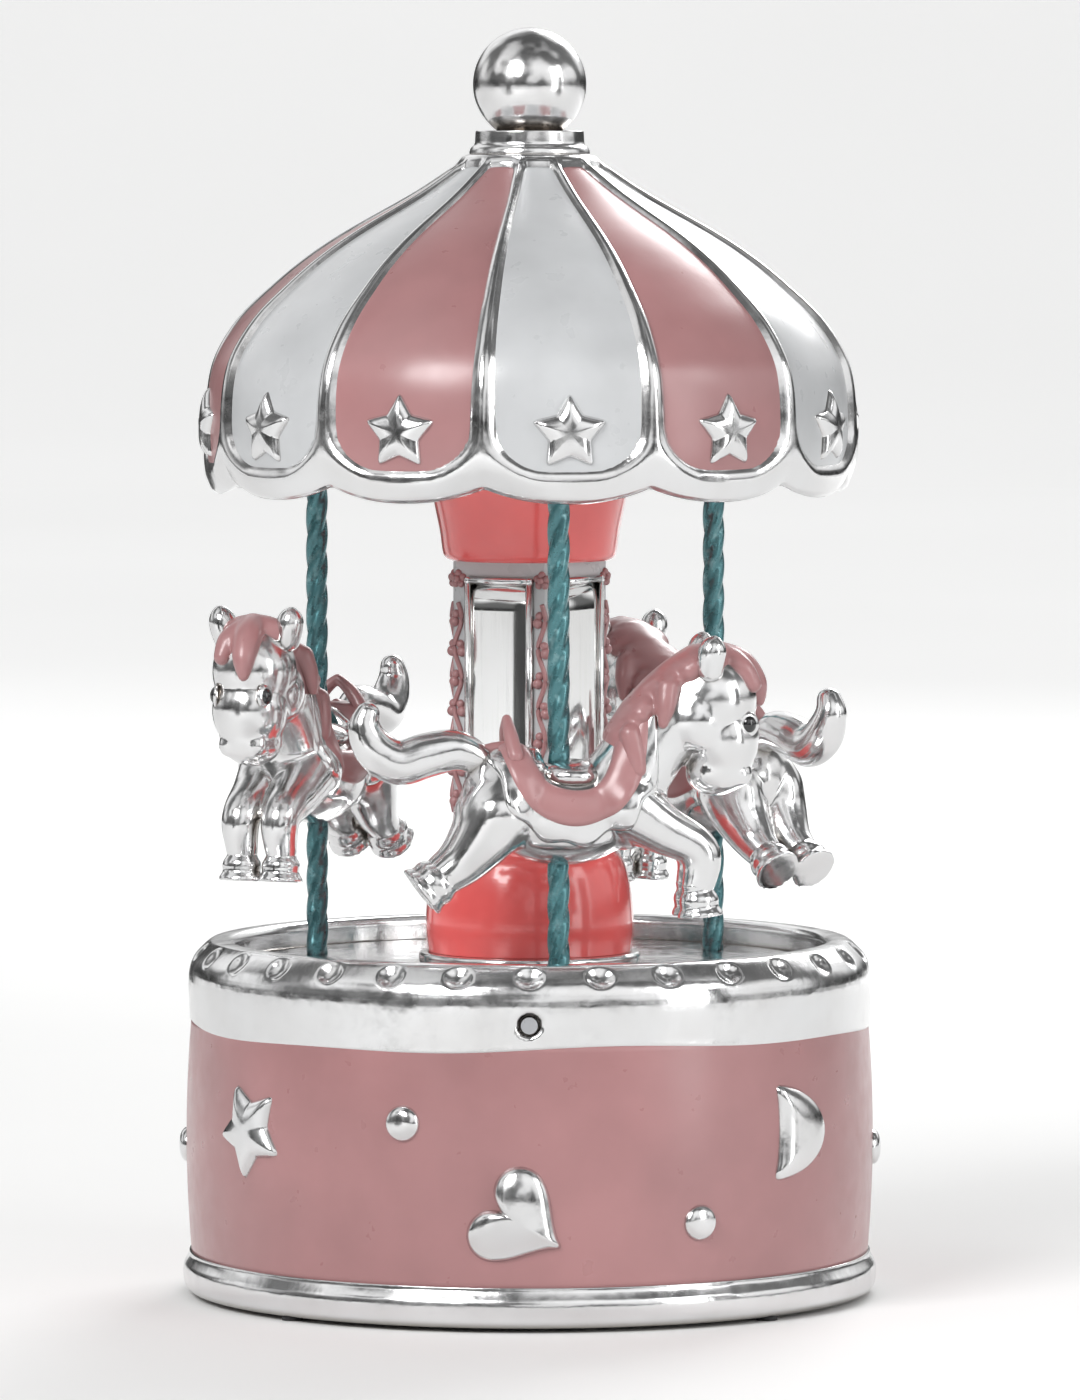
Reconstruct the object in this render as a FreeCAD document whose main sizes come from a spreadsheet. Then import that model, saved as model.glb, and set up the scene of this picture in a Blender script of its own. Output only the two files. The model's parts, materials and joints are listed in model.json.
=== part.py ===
"""Carousel music box: a pin-cylinder movement in an enamelled drum turns three ponies under a canopy.

Frame: millimetres, +Z up, origin at the centre of the circle that the feet rest on, front at -Y.
Angles on the carousel and on the drum are degrees from the front, growing towards +X.
"""
import FreeCAD, Part
import math
import os

import Sketcher

# ---------------------------------------------------------------- driving dimensions

DRIVING_DIMENSIONS = {
    "drum_bulge_radius": 46.7,
    "drum_end_radius": 46.0,
    "drum_bottom": 0.6,
    "foot_moulding_top": 5.4,
    "band_top": 37.6,
    "rim_shoulder": 45.4,
    "rim_top": 48.2,
    "rim_lip_radius": 42.6,
    "stage_opening_radius": 40.0,
    "cavity_radius": 43.0,
    "enamel_depth": 0.7,
    "relief_height": 0.9,
    "cover_bottom": 9.0,
    "cover_thickness": 1.0,
    "bed_thickness": 2.0,
    "deck_bottom": 39.5,
    "deck_thickness": 2.0,
    "platform_radius": 39.3,
    "platform_bottom": 42.5,
    "platform_top": 44.9,
    "shaft_radius": 2.5,
    "spindle_radius": 1.8,
    "running_clearance": 0.05,
    "press_clearance": 0.02,
    "pole_circle_radius": 31.6,
    "pole_radius": 1.5,
    "column_ring_radius": 14.5,
    "column_drum_radius": 14.1,
    "column_drum_top": 61.0,
    "column_corner_radius": 11.3,
    "column_top": 99.5,
    "mirror_width": 9.5,
    "mirror_thickness": 0.8,
    "ceiling_bottom": 110.5,
    "ceiling_thickness": 1.2,
    "ceiling_radius": 40.4,
    "canopy_radius": 44.0,
    "canopy_bottom": 108.7,
    "scallop_rise": 2.0,
    "canopy_shoulder": 117.7,
    "canopy_top": 154.7,
    "canopy_wall": 2.2,
    "rib_width": 3.2,
    "star_radius": 5.0,
    "ball_radius": 7.65,
    "ball_centre": 162.6,
    "neck_radius": 5.4,
    "barrel_radius": 11.3,
    "barrel_bottom": 13.5,
    "barrel_top": 24.0,
    "cylinder_axis": 29.0,
    "cylinder_radius": 6.5,
    "cylinder_start": 14.8,
    "cylinder_length": 16.2,
    "crown_module": 0.5,
    "train_module": 0.3,
    "worm_module": 0.4,
    "worm_pitch_radius": 1.2,
}

CAROUSEL_ANGLE = 7.0
PONIES = 3
CANOPY_PANELS = 12
RIM_BEADS = 30
CROWN_TEETH = 48
CROWN_PINION_TEETH = 16
WHEEL_TEETH = 48
GOVERNOR_PINION_TEETH = 12
WORM_WHEEL_TEETH = 24
COMB_TEETH = 18
COLUMN_FACE_ANGLE = -30.0
SHEET_NAME = "dimensions"

UP = FreeCAD.Vector(0, 0, 1)
ALONG_X = FreeCAD.Vector(1, 0, 0)
CENTRE = FreeCAD.Vector(0, 0, 0)
FACING_FRONT = FreeCAD.Rotation(ALONG_X, 90)


class Size:
    """A length with its value and the sheet formula that drives it."""

    def __init__(self, value, formula):
        self.value = value
        self.formula = formula

    def combined(self, other, sign, result):
        return Size(result(self.value, other.value), f"({self.formula} {sign} {other.formula})")

    def __add__(self, other):
        return self.combined(sized(other), "+", lambda a, b: a + b)

    def __radd__(self, other):
        return sized(other) + self

    def __sub__(self, other):
        return self.combined(sized(other), "-", lambda a, b: a - b)

    def __rsub__(self, other):
        return sized(other) - self

    def __mul__(self, other):
        return self.combined(sized(other), "*", lambda a, b: a * b)

    def __rmul__(self, other):
        return sized(other) * self

    def __truediv__(self, other):
        return self.combined(sized(other), "/", lambda a, b: a / b)

    def __neg__(self):
        return Size(-self.value, f"(0 - {self.formula})")


def sized(number):
    """A plain number as a Size, or a Size unchanged."""
    if isinstance(number, Size):
        return number
    text = f"{float(number):.6f}"
    return Size(float(number), text if number >= 0 else f"({text})")


document = FreeCAD.newDocument("carousel_music_box")


def filled_sheet():
    """The sheet of driving dimensions, one per row, each with its alias."""
    sheet = document.addObject("Spreadsheet::Sheet", SHEET_NAME)
    for row, (alias, value) in enumerate(DRIVING_DIMENSIONS.items(), start=1):
        sheet.set(f"A{row}", alias)
        sheet.set(f"B{row}", str(value))
        sheet.setAlias(f"B{row}", alias)
    document.recompute()
    return sheet


SHEET = filled_sheet()


def dim(alias):
    """A driving dimension by its alias."""
    return Size(float(getattr(SHEET, alias)), f"{SHEET_NAME}.{alias}")


# ---------------------------------------------------------------- drawing and shaping helpers

def bind(thing, path, size):
    """Bind one property of an object to a size."""
    thing.setExpression(path, sized(size).formula)


def place(thing, x=0, y=0, z=0, turn=0.0, axis=UP):
    """Put an object at a bound position, turned about an axis of its own."""
    spot = FreeCAD.Vector(*(sized(size).value for size in (x, y, z)))
    thing.Placement = FreeCAD.Placement(spot, FreeCAD.Rotation(axis, turn))
    for path, size in (("Placement.Base.x", x), ("Placement.Base.y", y), ("Placement.Base.z", z)):
        bind(thing, path, size)
    return thing


def point(corner):
    """The first two sizes of a corner as a vector on the sketch."""
    return FreeCAD.Vector(sized(corner[0]).value, sized(corner[1]).value, 0)


def arc_between(start, end, radius):
    """The short arc between two points: it bows to the right of the way for a positive radius."""
    chord = end - start
    half = chord.Length / 2
    rise = math.sqrt(radius * radius - half * half)
    left = FreeCAD.Vector(-chord.y, chord.x, 0) / chord.Length
    centre = (start + end) / 2 + left * math.copysign(rise, radius)
    first, last = (start, end) if radius > 0 else (end, start)
    angles = [math.atan2(p.y - centre.y, p.x - centre.x) for p in (first, last)]
    return Part.ArcOfCircle(Part.Circle(centre, UP, abs(radius)), *angles)


def draw(sketch, outline):
    """Draw a closed outline whose corners are bound to the sheet.

    A corner is (across, up), or (across, up, radius) when an arc leads to it.
    """
    ends = []
    for index, corner in enumerate(outline):
        start, end = point(outline[index - 1]), point(corner)
        if len(corner) == 3:
            radius = sized(corner[2])
            edge = sketch.addGeometry(arc_between(start, end, radius.value))
            size = Size(abs(radius.value), f"abs({radius.formula})")
            bound = sketch.addConstraint(Sketcher.Constraint("Radius", edge, size.value))
            sketch.setExpression(f"Constraints[{bound}]", size.formula)
            ends.append((edge, 1, 2) if radius.value > 0 else (edge, 2, 1))
        else:
            edge = sketch.addGeometry(Part.LineSegment(start, end))
            ends.append((edge, 1, 2))
    for index, corner in enumerate(outline):
        edge, _, tail = ends[index]
        following, head, _ = ends[(index + 1) % len(ends)]
        sketch.addConstraint(Sketcher.Constraint("Coincident", edge, tail, following, head))
        for kind, size in (("DistanceX", sized(corner[0])), ("DistanceY", sized(corner[1]))):
            bound = sketch.addConstraint(Sketcher.Constraint(kind, -1, 1, edge, tail, size.value))
            sketch.setExpression(f"Constraints[{bound}]", size.formula)


def sketch_in(body, name, plane, outlines, lift=0):
    """A sketch on one of a body's own planes, lifted off it along its normal."""
    sketch = body.newObject("Sketcher::SketchObject", name)
    origin_plane = next(item for item in body.Origin.OriginFeatures if item.Role == plane)
    sketch.AttachmentSupport = [(origin_plane, "")]
    sketch.MapMode = "FlatFace"
    sketch.setExpression("AttachmentOffset.Base.z", sized(lift).formula)
    for outline in outlines:
        draw(sketch, outline)
    return sketch


def revolved(label, *outlines):
    """A body of revolution about Z, from outlines of (radius, height) corners."""
    body = document.addObject("PartDesign::Body", label)
    profile = sketch_in(body, f"{label}_profile", "XZ_Plane", outlines)
    turned = body.newObject("PartDesign::Revolution", f"{label}_turned")
    turned.Profile = profile
    turned.ReferenceAxis = (profile, ["V_Axis"])
    turned.Angle = 360
    return body


def plate(label, outlines, bottom, thickness):
    """A flat body of outlines seen from above."""
    body = document.addObject("PartDesign::Body", label)
    profile = sketch_in(body, f"{label}_outline", "XY_Plane", outlines, lift=bottom)
    pad = body.newObject("PartDesign::Pad", f"{label}_pad")
    pad.Profile = profile
    bind(pad, "Length", thickness)
    return body


def ring(label, inner, outer, bottom, top):
    """A plain ring or washer."""
    return revolved(label, [(inner, bottom), (outer, bottom), (outer, top), (inner, top)])


def cylinder(label, radius, height, x=0, y=0, z=0, turn=0.0, axis=UP):
    """A cylinder that starts at a point; unturned it stands along Z."""
    thing = document.addObject("Part::Cylinder", label)
    bind(thing, "Radius", radius)
    bind(thing, "Height", height)
    return place(thing, x, y, z, turn, axis)


def rod_x(label, radius, start, end, y=0, z=0):
    """A cylinder that lies along X."""
    return cylinder(label, radius, sized(end) - start, start, y, z, 90, FreeCAD.Vector(0, 1, 0))


def box(label, low, high):
    """A box between two corners."""
    thing = document.addObject("Part::Box", label)
    for path, near, far in zip(("Length", "Width", "Height"), low, high):
        bind(thing, path, sized(far) - near)
    return place(thing, *low)


def combined(label, kind, base, tool):
    """The cut or common part of two shapes."""
    thing = document.addObject(kind, label)
    thing.Base = base
    thing.Tool = tool
    return thing


def cut(label, base, tool):
    return combined(label, "Part::Cut", base, tool)


def common(label, base, tool):
    return combined(label, "Part::Common", base, tool)


def fused(label, parts):
    """One solid made of several overlapping shapes."""
    thing = document.addObject("Part::MultiFuse", label)
    thing.Shapes = parts
    thing.Refine = True
    return thing


def grouped(label, parts):
    """Separate solids kept together."""
    thing = document.addObject("Part::Compound", label)
    thing.Links = parts
    return thing


def around(label, make, angles):
    """A group of copies made at several angles round the Z axis; make(name) gives each at the front."""
    copies = []
    for number, angle in enumerate(angles, start=1):
        copy = make(f"{label}_{number}")
        turn = FreeCAD.Placement(CENTRE, FreeCAD.Rotation(UP, angle))
        base = copy.Placement
        copy.setExpression("Placement.Base.x", None)
        copy.setExpression("Placement.Base.y", None)
        copy.setExpression("Placement.Base.z", None)
        copy.Placement = turn.multiply(base)
        copies.append(copy)
    return grouped(label, copies)


def even_angles(count, first=0.0):
    """Angles spread evenly round a circle."""
    return [first + number * 360.0 / count for number in range(count)]


def relief_prisms(label, outline, height, near, far, placings):
    """Outlines seen from outside, pushed out along a radius between two distances from the axis.

    placings holds (angle round the axis, height of the centre, tilt of the outline).
    """
    sketch = document.addObject("Sketcher::SketchObject", f"{label}_sketch")
    draw(sketch, outline)
    prisms = []
    for number, (angle, centre_height, tilt) in enumerate(placings, start=1):
        prism = document.addObject("Part::Extrusion", f"{label}_{number}")
        prism.Base = sketch
        prism.DirMode = "Custom"
        prism.Dir = UP
        prism.Solid = True
        bind(prism, "LengthFwd", sized(far) - near)
        facing = FreeCAD.Rotation(UP, angle).multiply(FACING_FRONT).multiply(FreeCAD.Rotation(UP, tilt))
        outward = FreeCAD.Vector(math.sin(math.radians(angle)), -math.cos(math.radians(angle)), 0)
        prism.Placement = FreeCAD.Placement(CENTRE, facing)
        bind(prism, "Placement.Base.x", sized(near) * outward.x)
        bind(prism, "Placement.Base.y", sized(near) * outward.y)
        bind(prism, "Placement.Base.z", centre_height)
        prisms.append(prism)
    return grouped(label, prisms)


def star_outline(radius):
    """A plump five-pointed star with one point up."""
    waist = 0.52
    corners = []
    for number in range(10):
        reach = radius * (waist if number % 2 else 1.0)
        angle = math.radians(90 + 36 * number)
        corners.append((reach * math.cos(angle), reach * math.sin(angle)))
    return corners


def heart_outline(side):
    """A heart: a square on its corner with a half circle on each upper side."""
    corner = side * math.sqrt(0.5)
    lobe = side / 2
    return [(0, -corner), (corner, 0), (corner, corner, lobe), (0, corner, lobe),
            (-corner, corner, lobe), (-corner, 0, lobe)]


def moon_outline(radius):
    """A fat crescent, open to the left."""
    tip = radius * math.cos(math.radians(125))
    rise = radius * math.sin(math.radians(125))
    return [(radius, 0, radius), (tip, rise, radius), (tip, -rise, -radius * 1.25)]


def disc_outline(radius):
    """A circle of four arcs."""
    return [(radius, 0, radius), (0, radius, radius), (-radius, 0, radius), (0, -radius, radius)]


def hexagon_nut(label, across, bore, x, y, bottom, height):
    """A hexagon nut that stands on a height."""
    prism = document.addObject("Part::Prism", f"{label}_hexagon")
    prism.Polygon = 6
    bind(prism, "Circumradius", sized(across) / math.sqrt(3))
    bind(prism, "Height", height)
    place(prism, x, y, bottom)
    return cut(label, prism, cylinder(f"{label}_bore", bore, height, x, y, bottom))


def on_circle(radius, angle):
    """A point of a circle about Z, its angle counted from the front."""
    radians = math.radians(angle)
    return radius * math.sin(radians), -radius * math.cos(radians)


# ---------------------------------------------------------------- drum

def drum_curve(offset):
    """The bulged wall of the drum from its lower to its upper edge, moved outwards by an offset."""
    low, high = dim("foot_moulding_top"), dim("band_top")
    end = dim("drum_end_radius") + offset
    rise = dim("drum_bulge_radius") - dim("drum_end_radius")
    half = (high - low) / 2
    bow = (half * half + rise * rise) / (rise * 2)
    return end, low, high, bow


COVER_LUG_RADIUS = 38.5
COVER_LUG_HEIGHT = 6.0
COVER_LUG_ANGLES = even_angles(3, 30.0)
DECK_SCREW_ANGLES = even_angles(3)
DECK_SCREW_HEIGHT = 40.5
SMALL_SCREW = 0.8


def base_casing():
    """The cast drum: foot moulding, wall with a recess for the enamel, beaded rim, deck ledge and cover lugs."""
    end, low, high, bow = drum_curve(-dim("enamel_depth"))
    bottom, cavity = dim("drum_bottom"), dim("cavity_radius")
    deck, opening = dim("deck_bottom"), dim("stage_opening_radius")
    outer, shoulder = dim("drum_end_radius"), dim("rim_shoulder")
    lip, top = dim("rim_lip_radius"), dim("rim_top")
    moulding, ledge_reach, ledge_depth = 0.8, 1.5, 1.2
    wall = revolved("casing_wall", [
        (cavity, bottom), (outer, bottom), (outer + moulding, bottom + moulding),
        (outer + moulding, low - moulding, 2.4), (outer, low), (end, low), (end, high, bow), (outer, high),
        (outer + 0.2, shoulder), (lip, top), (opening, top), (opening, deck),
        (opening - ledge_reach, deck), (opening - ledge_reach, deck - ledge_depth), (cavity, deck - ledge_depth)])
    bead = 1.75
    beads = around("rim_bead_cuts", lambda name: rim_bead(name, bead), even_angles(RIM_BEADS))
    lug_height = dim("cover_bottom") + dim("cover_thickness")
    lugs = around("cover_lug_blocks", lambda name: cover_lug(name, lug_height), COVER_LUG_ANGLES)
    lug_holes = around("cover_lug_holes", lambda name: cylinder(
        name, SMALL_SCREW, COVER_LUG_HEIGHT, 0, -COVER_LUG_RADIUS, lug_height), COVER_LUG_ANGLES)
    screw_holes = around("deck_screw_holes", lambda name: deck_screw_space(name, 1.3, SMALL_SCREW), DECK_SCREW_ANGLES)
    solid = fused("casing_blank", [wall, lugs])
    removed = grouped("casing_cuts", [beads, lug_holes, screw_holes])
    return cut("base_casing", solid, removed)


def rim_bead(label, radius):
    """The shallow round dimple that is sunk into the bevel of the rim."""
    thing = document.addObject("Part::Sphere", label)
    bind(thing, "Radius", radius)
    middle = (dim("drum_end_radius") + dim("rim_lip_radius")) / 2 + 1.0
    height = (dim("rim_shoulder") + dim("rim_top")) / 2 + 0.9
    return place(thing, 0, -middle, height)


def cover_lug(label, bottom):
    """A block inside the wall that takes a cover screw."""
    half_width = 3.0
    inner, outer = 36.0, 43.6
    return box(label, (-half_width, -outer, bottom), (half_width, -inner, bottom + COVER_LUG_HEIGHT))


def deck_screw_space(label, head_radius, shank_radius):
    """A screw that points inwards through the wall, with its head flush in the rim."""
    surface, head_depth, tip = dim("drum_end_radius"), 1.2, 36.8
    head = cylinder(f"{label}_head", head_radius, head_depth + 0.3, 0, -(surface + 0.3), DECK_SCREW_HEIGHT, -90, ALONG_X)
    shank = cylinder(f"{label}_shank", shank_radius, surface - tip, 0, -surface, DECK_SCREW_HEIGHT, -90, ALONG_X)
    return fused(label, [head, shank])


def deck_screws():
    """Three screws through the rim into the edge of the deck plate."""
    def one(name):
        surface, head_depth, tip = dim("drum_end_radius"), 1.1, 36.9
        head = cylinder(f"{name}_head", 1.1, head_depth, 0, -surface, DECK_SCREW_HEIGHT, -90, ALONG_X)
        shank = cylinder(f"{name}_shank", SMALL_SCREW, surface - tip, 0, -surface, DECK_SCREW_HEIGHT, -90, ALONG_X)
        return fused(name, [head, shank])
    return around("deck_screws", one, DECK_SCREW_ANGLES)


def drum_enamel():
    """The ring of enamel that fills the recess of the wall."""
    end, low, high, bow = drum_curve(0)
    depth = dim("enamel_depth")
    return revolved("drum_enamel", [(end - depth, low, -bow), (end, low), (end, high, bow), (end - depth, high)])


BAND_ORNAMENTS = {
    "band_stars": (lambda: star_outline(sized(6.4)), [(-53, 24.9, 180)]),
    "band_hearts": (lambda: heart_outline(sized(7.2)), [(-2, 14.9, 38)]),
    "band_moons": (lambda: moon_outline(sized(6.3)), [(51, 24.9, 0)]),
    "band_dots": (lambda: disc_outline(sized(2.4)), [(-21, 27.4, 0), (29, 14.0, 0), (88, 19.9, 0)]),
}


def band_ornaments(label):
    """One kind of raised ornament on the enamel, repeated on the back of the drum."""
    outline, placings = BAND_ORNAMENTS[label]
    repeated = [(angle + half, height, tilt) for half in (0, 180) for angle, height, tilt in placings]
    prisms = relief_prisms(f"{label}_prisms", outline(), 0, 40, 50, repeated)
    end, low, high, bow = drum_curve(0)
    relief = dim("relief_height")
    layer = revolved(f"{label}_layer", [(end, low, -bow), (end + relief, low), (end + relief, high, bow), (end, high)])
    return common(label, prisms, layer)


def feet():
    """Four rubber pads under the foot moulding."""
    middle = (dim("drum_end_radius") + dim("cavity_radius")) / 2
    return around("feet", lambda name: cylinder(name, 1.4, dim("drum_bottom"), 0, -middle, 0), even_angles(4, 45.0))


def deck_plate():
    """The plate under the carousel, with a hole for the bush and three tapped holes in its edge."""
    bottom, thick = dim("deck_bottom"), dim("deck_thickness")
    disc = ring("deck_blank", 3.6, dim("stage_opening_radius") - 0.3, bottom, bottom + thick)
    holes = around("deck_edge_holes", lambda name: deck_screw_space(name, 1.3, SMALL_SCREW), DECK_SCREW_ANGLES)
    return cut("deck_plate", disc, holes)


def shaft_bush():
    """The flanged brass bush that guides the drive spindle."""
    bore = dim("shaft_radius") + dim("running_clearance")
    bottom = dim("deck_bottom")
    top = bottom + dim("deck_thickness")
    return revolved("shaft_bush", [(bore, bottom - 1), (3.6, bottom - 1), (3.6, top), (5.5, top), (5.5, top + 0.5),
                                   (bore, top + 0.5)])


# ---------------------------------------------------------------- bottom cover, bed and comb

MOVEMENT_SCREWS = [(-15.0, 8.0), (-15.0, -12.0), (30.0, -17.0)]
GOVERNOR_SCREW = (36.5, 14.2)
COMB_SCREWS = [18.5, 27.5]
COMB_SCREW_Y = -19.5
ARBOR_RADIUS = 2.0


def bottom_cover():
    """The steel cover above the key recess."""
    low = dim("cover_bottom")
    thick = dim("cover_thickness")
    disc = ring("cover_blank", 4.0, dim("cavity_radius") - 0.3, low, low + thick)
    lug_holes = around("cover_holes", lambda name: cylinder(name, SMALL_SCREW, thick, 0, -COVER_LUG_RADIUS, low),
                       COVER_LUG_ANGLES)
    bed_holes = [cylinder(f"cover_bed_hole_{number}", SMALL_SCREW, thick, x, y, low)
                 for number, (x, y) in enumerate(MOVEMENT_SCREWS, start=1)]
    return cut("bottom_cover", disc, grouped("cover_cuts", [lug_holes] + bed_holes))


def screw(label, x, y, head_bottom, length, head_below=True):
    """A cheese-head screw: its head under or over the piece that it holds."""
    head_height = 0.8
    head_z = sized(head_bottom) - head_height if head_below else sized(head_bottom)
    shank_z = sized(head_bottom) if head_below else sized(head_bottom) - length
    head = cylinder(f"{label}_head", 1.6, head_height, x, y, head_z)
    shank = cylinder(f"{label}_shank", SMALL_SCREW, length, x, y, shank_z)
    return fused(label, [head, shank])


def cover_screws():
    """Three screws that hold the cover to the lugs."""
    return around("cover_screws", lambda name: screw(name, 0, -COVER_LUG_RADIUS, dim("cover_bottom"), 5.0),
                  COVER_LUG_ANGLES)


def movement_screws():
    """Three screws that hold the bed of the movement on the cover."""
    return grouped("movement_screws", [screw(f"movement_screw_{number}", x, y, dim("cover_bottom"), 2.6)
                                       for number, (x, y) in enumerate(MOVEMENT_SCREWS, start=1)])


def bed_levels():
    """The lower and upper faces of the bed."""
    bottom = dim("cover_bottom") + dim("cover_thickness")
    return bottom, bottom + dim("bed_thickness")


def cylinder_end():
    """Where the pin cylinder ends along X."""
    return dim("cylinder_start") + dim("cylinder_length")


UPRIGHT_THICKNESS = 0.8
CYLINDER_ARBOR_RADIUS = 0.7
WHEEL_START = 1.0
OUTER_UPRIGHT = 2.4
COMB_UNDERSIDE_GAP = 0.4


def bedplate():
    """The cast bed with a comb seat and the two bearings of the pin cylinder."""
    bottom, top = bed_levels()
    axis = dim("cylinder_axis")
    start = dim("cylinder_start")
    plate_solid = plate("bed_floor", [[(-18, -16), (12, -16), (14, -24), (34, -24), (34, -6), (40, -4), (40, 10),
                                       (38.6, 17), (30, 17), (12, 14), (-18, 12)]], bottom, top - bottom)
    seat = box("comb_seat", (15.0, -23.0, top), (31.0, -16.5, axis - COMB_UNDERSIDE_GAP))
    inner_x = start - 0.6 - UPRIGHT_THICKNESS
    outer_x = cylinder_end() + OUTER_UPRIGHT
    uprights = [box(name, (x, -2.6, top), (x + UPRIGHT_THICKNESS, 2.6, axis + 2.4))
                for name, x in (("inner_upright", inner_x), ("outer_upright", outer_x))]
    bore = CYLINDER_ARBOR_RADIUS + dim("running_clearance")
    cuts = [rod_x("cylinder_bearing_bore", bore, inner_x - 1, outer_x + 2, 0, axis),
            cylinder("arbor_bore", ARBOR_RADIUS + dim("running_clearance"), top - bottom, 0, 0, bottom),
            cylinder("governor_screw_hole", SMALL_SCREW, top - bottom, *GOVERNOR_SCREW, bottom)]
    cuts += [cylinder(f"bed_hole_{number}", SMALL_SCREW, 1.7, x, y, bottom)
             for number, (x, y) in enumerate(MOVEMENT_SCREWS, start=1)]
    cuts += [cylinder(f"comb_hole_{number}", SMALL_SCREW, 5.0, x, COMB_SCREW_Y, axis - COMB_UNDERSIDE_GAP - 5.0)
             for number, x in enumerate(COMB_SCREWS, start=1)]
    return cut("bedplate", fused("bed_blank", [plate_solid, seat] + uprights), grouped("bed_cuts", cuts))


def tone_comb():
    """The steel comb: eighteen teeth, the long low notes at the inner end."""
    axis = dim("cylinder_axis")
    bottom = axis - COMB_UNDERSIDE_GAP
    thick, gap, tip_gap = 0.8, 0.25, 0.9
    tip = dim("cylinder_radius") + tip_gap
    start = dim("cylinder_start")
    length = dim("cylinder_length")
    blank = box("comb_blank", (start, -23.0, bottom), (start + length, -tip, bottom + thick))
    slots = []
    for number in range(1, COMB_TEETH):
        x = start + length * (number / COMB_TEETH) - gap / 2
        depth = 9.0 - 4.0 * number / COMB_TEETH
        slots.append(box(f"comb_slot_{number}", (x, -tip - depth, bottom), (x + gap, -tip, bottom + thick)))
    holes = [cylinder(f"comb_screw_way_{number}", SMALL_SCREW, thick, x, COMB_SCREW_Y, bottom)
             for number, x in enumerate(COMB_SCREWS, start=1)]
    return cut("tone_comb", blank, grouped("comb_cuts", slots + holes))


def comb_screws():
    """Two screws that clamp the comb on its seat."""
    top = dim("cylinder_axis") - COMB_UNDERSIDE_GAP + 0.8
    return grouped("comb_screws", [screw(f"comb_screw_{number}", x, COMB_SCREW_Y, top, 4.5, head_below=False)
                                   for number, x in enumerate(COMB_SCREWS, start=1)])


# ---------------------------------------------------------------- gears

def toothed(label, teeth, module, thickness, phase=0.0):
    """A spur wheel on the XY plane about Z, with a tooth centred at the phase angle."""
    pitch_radius = module * (teeth / 2)
    root = pitch_radius - module * 1.2
    tip = pitch_radius + module * 0.8
    pitch = module * math.pi
    root_half, tip_half = pitch * 0.23, pitch * 0.12
    body = document.addObject("PartDesign::Body", label)
    disc = body.newObject("PartDesign::Pad", f"{label}_disc")
    disc.Profile = sketch_in(body, f"{label}_disc_sketch", "XY_Plane", [disc_outline(root)])
    bind(disc, "Length", thickness)
    foot = root * 0.9
    tooth = body.newObject("PartDesign::Pad", f"{label}_tooth")
    tooth.Profile = sketch_in(body, f"{label}_tooth_sketch", "XY_Plane",
                              [[(foot, -root_half), (tip, -tip_half), (tip, tip_half), (foot, root_half)]])
    bind(tooth, "Length", thickness)
    document.recompute()
    pattern = body.newObject("PartDesign::PolarPattern", f"{label}_teeth")
    pattern.Originals = [tooth]
    pattern.Axis = (tooth.Profile[0], ["N_Axis"])
    pattern.Angle = 360
    pattern.Occurrences = teeth
    body.Tip = pattern
    place(body, 0, 0, 0, phase)
    return body


def laid_along_x(label, wheel, bore, thickness, x, y, z, phase):
    """A wheel turned so that its axis lies along X, with a bore."""
    drilled = cut(label, wheel, cylinder(f"{label}_bore", bore, thickness))
    turned = FreeCAD.Rotation(FreeCAD.Vector(0, 1, 0), 90).multiply(FreeCAD.Rotation(UP, phase))
    drilled.Placement = FreeCAD.Placement(CENTRE, turned)
    for path, size in (("Placement.Base.x", x), ("Placement.Base.y", y), ("Placement.Base.z", z)):
        bind(drilled, path, size)
    return drilled


# ---------------------------------------------------------------- pin cylinder

PINION_START = 11.0
PINION_WIDTH = 2.0


def tune_pins(label):
    """A few pins on the track of each comb tooth, pressed into the cylinder."""
    pins_per_track, angle_step, track_step = 3, 120.0, 47.0
    pin_radius, sunk, proud = 0.15, 0.6, 0.5
    axis, foot = dim("cylinder_axis"), dim("cylinder_radius") - sunk
    pins = []
    for track in range(COMB_TEETH):
        x = dim("cylinder_start") + dim("cylinder_length") * ((track + 0.5) / COMB_TEETH)
        for number in range(pins_per_track):
            angle = number * angle_step + track * track_step
            across, up = math.sin(math.radians(angle)), math.cos(math.radians(angle))
            pins.append(cylinder(f"{label}_{track}_{number}", pin_radius, sunk + proud, x, -foot * across,
                                 axis + foot * up, angle, ALONG_X))
    return grouped(label, pins)


def pin_cylinder():
    """The brass cylinder that carries the tune, drilled for its pins."""
    start, end = dim("cylinder_start"), cylinder_end()
    solid = rod_x("cylinder_blank", dim("cylinder_radius"), start, end, 0, dim("cylinder_axis"))
    bore = rod_x("cylinder_bore", CYLINDER_ARBOR_RADIUS, start, end, 0, dim("cylinder_axis"))
    return cut("pin_cylinder", cut("cylinder_tube", solid, bore), tune_pins("pin_holes"))


def cylinder_pins():
    """The pins of the tune."""
    return tune_pins("cylinder_pins")


def cylinder_arbor():
    """The arbor of the pin cylinder, in the two bearings of the bed."""
    end = cylinder_end() + OUTER_UPRIGHT + UPRIGHT_THICKNESS + 0.2
    return rod_x("cylinder_arbor", CYLINDER_ARBOR_RADIUS, PINION_START - 0.3, end, 0, dim("cylinder_axis"))


def cylinder_pinion():
    """The pinion that runs on the crown teeth of the spring barrel."""
    wheel = toothed("crown_pinion_blank", CROWN_PINION_TEETH, dim("crown_module"), sized(PINION_WIDTH))
    return laid_along_x("cylinder_pinion", wheel, CYLINDER_ARBOR_RADIUS, PINION_WIDTH, PINION_START, 0,
                        dim("cylinder_axis"), 360.0 / CROWN_PINION_TEETH / 2)


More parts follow.
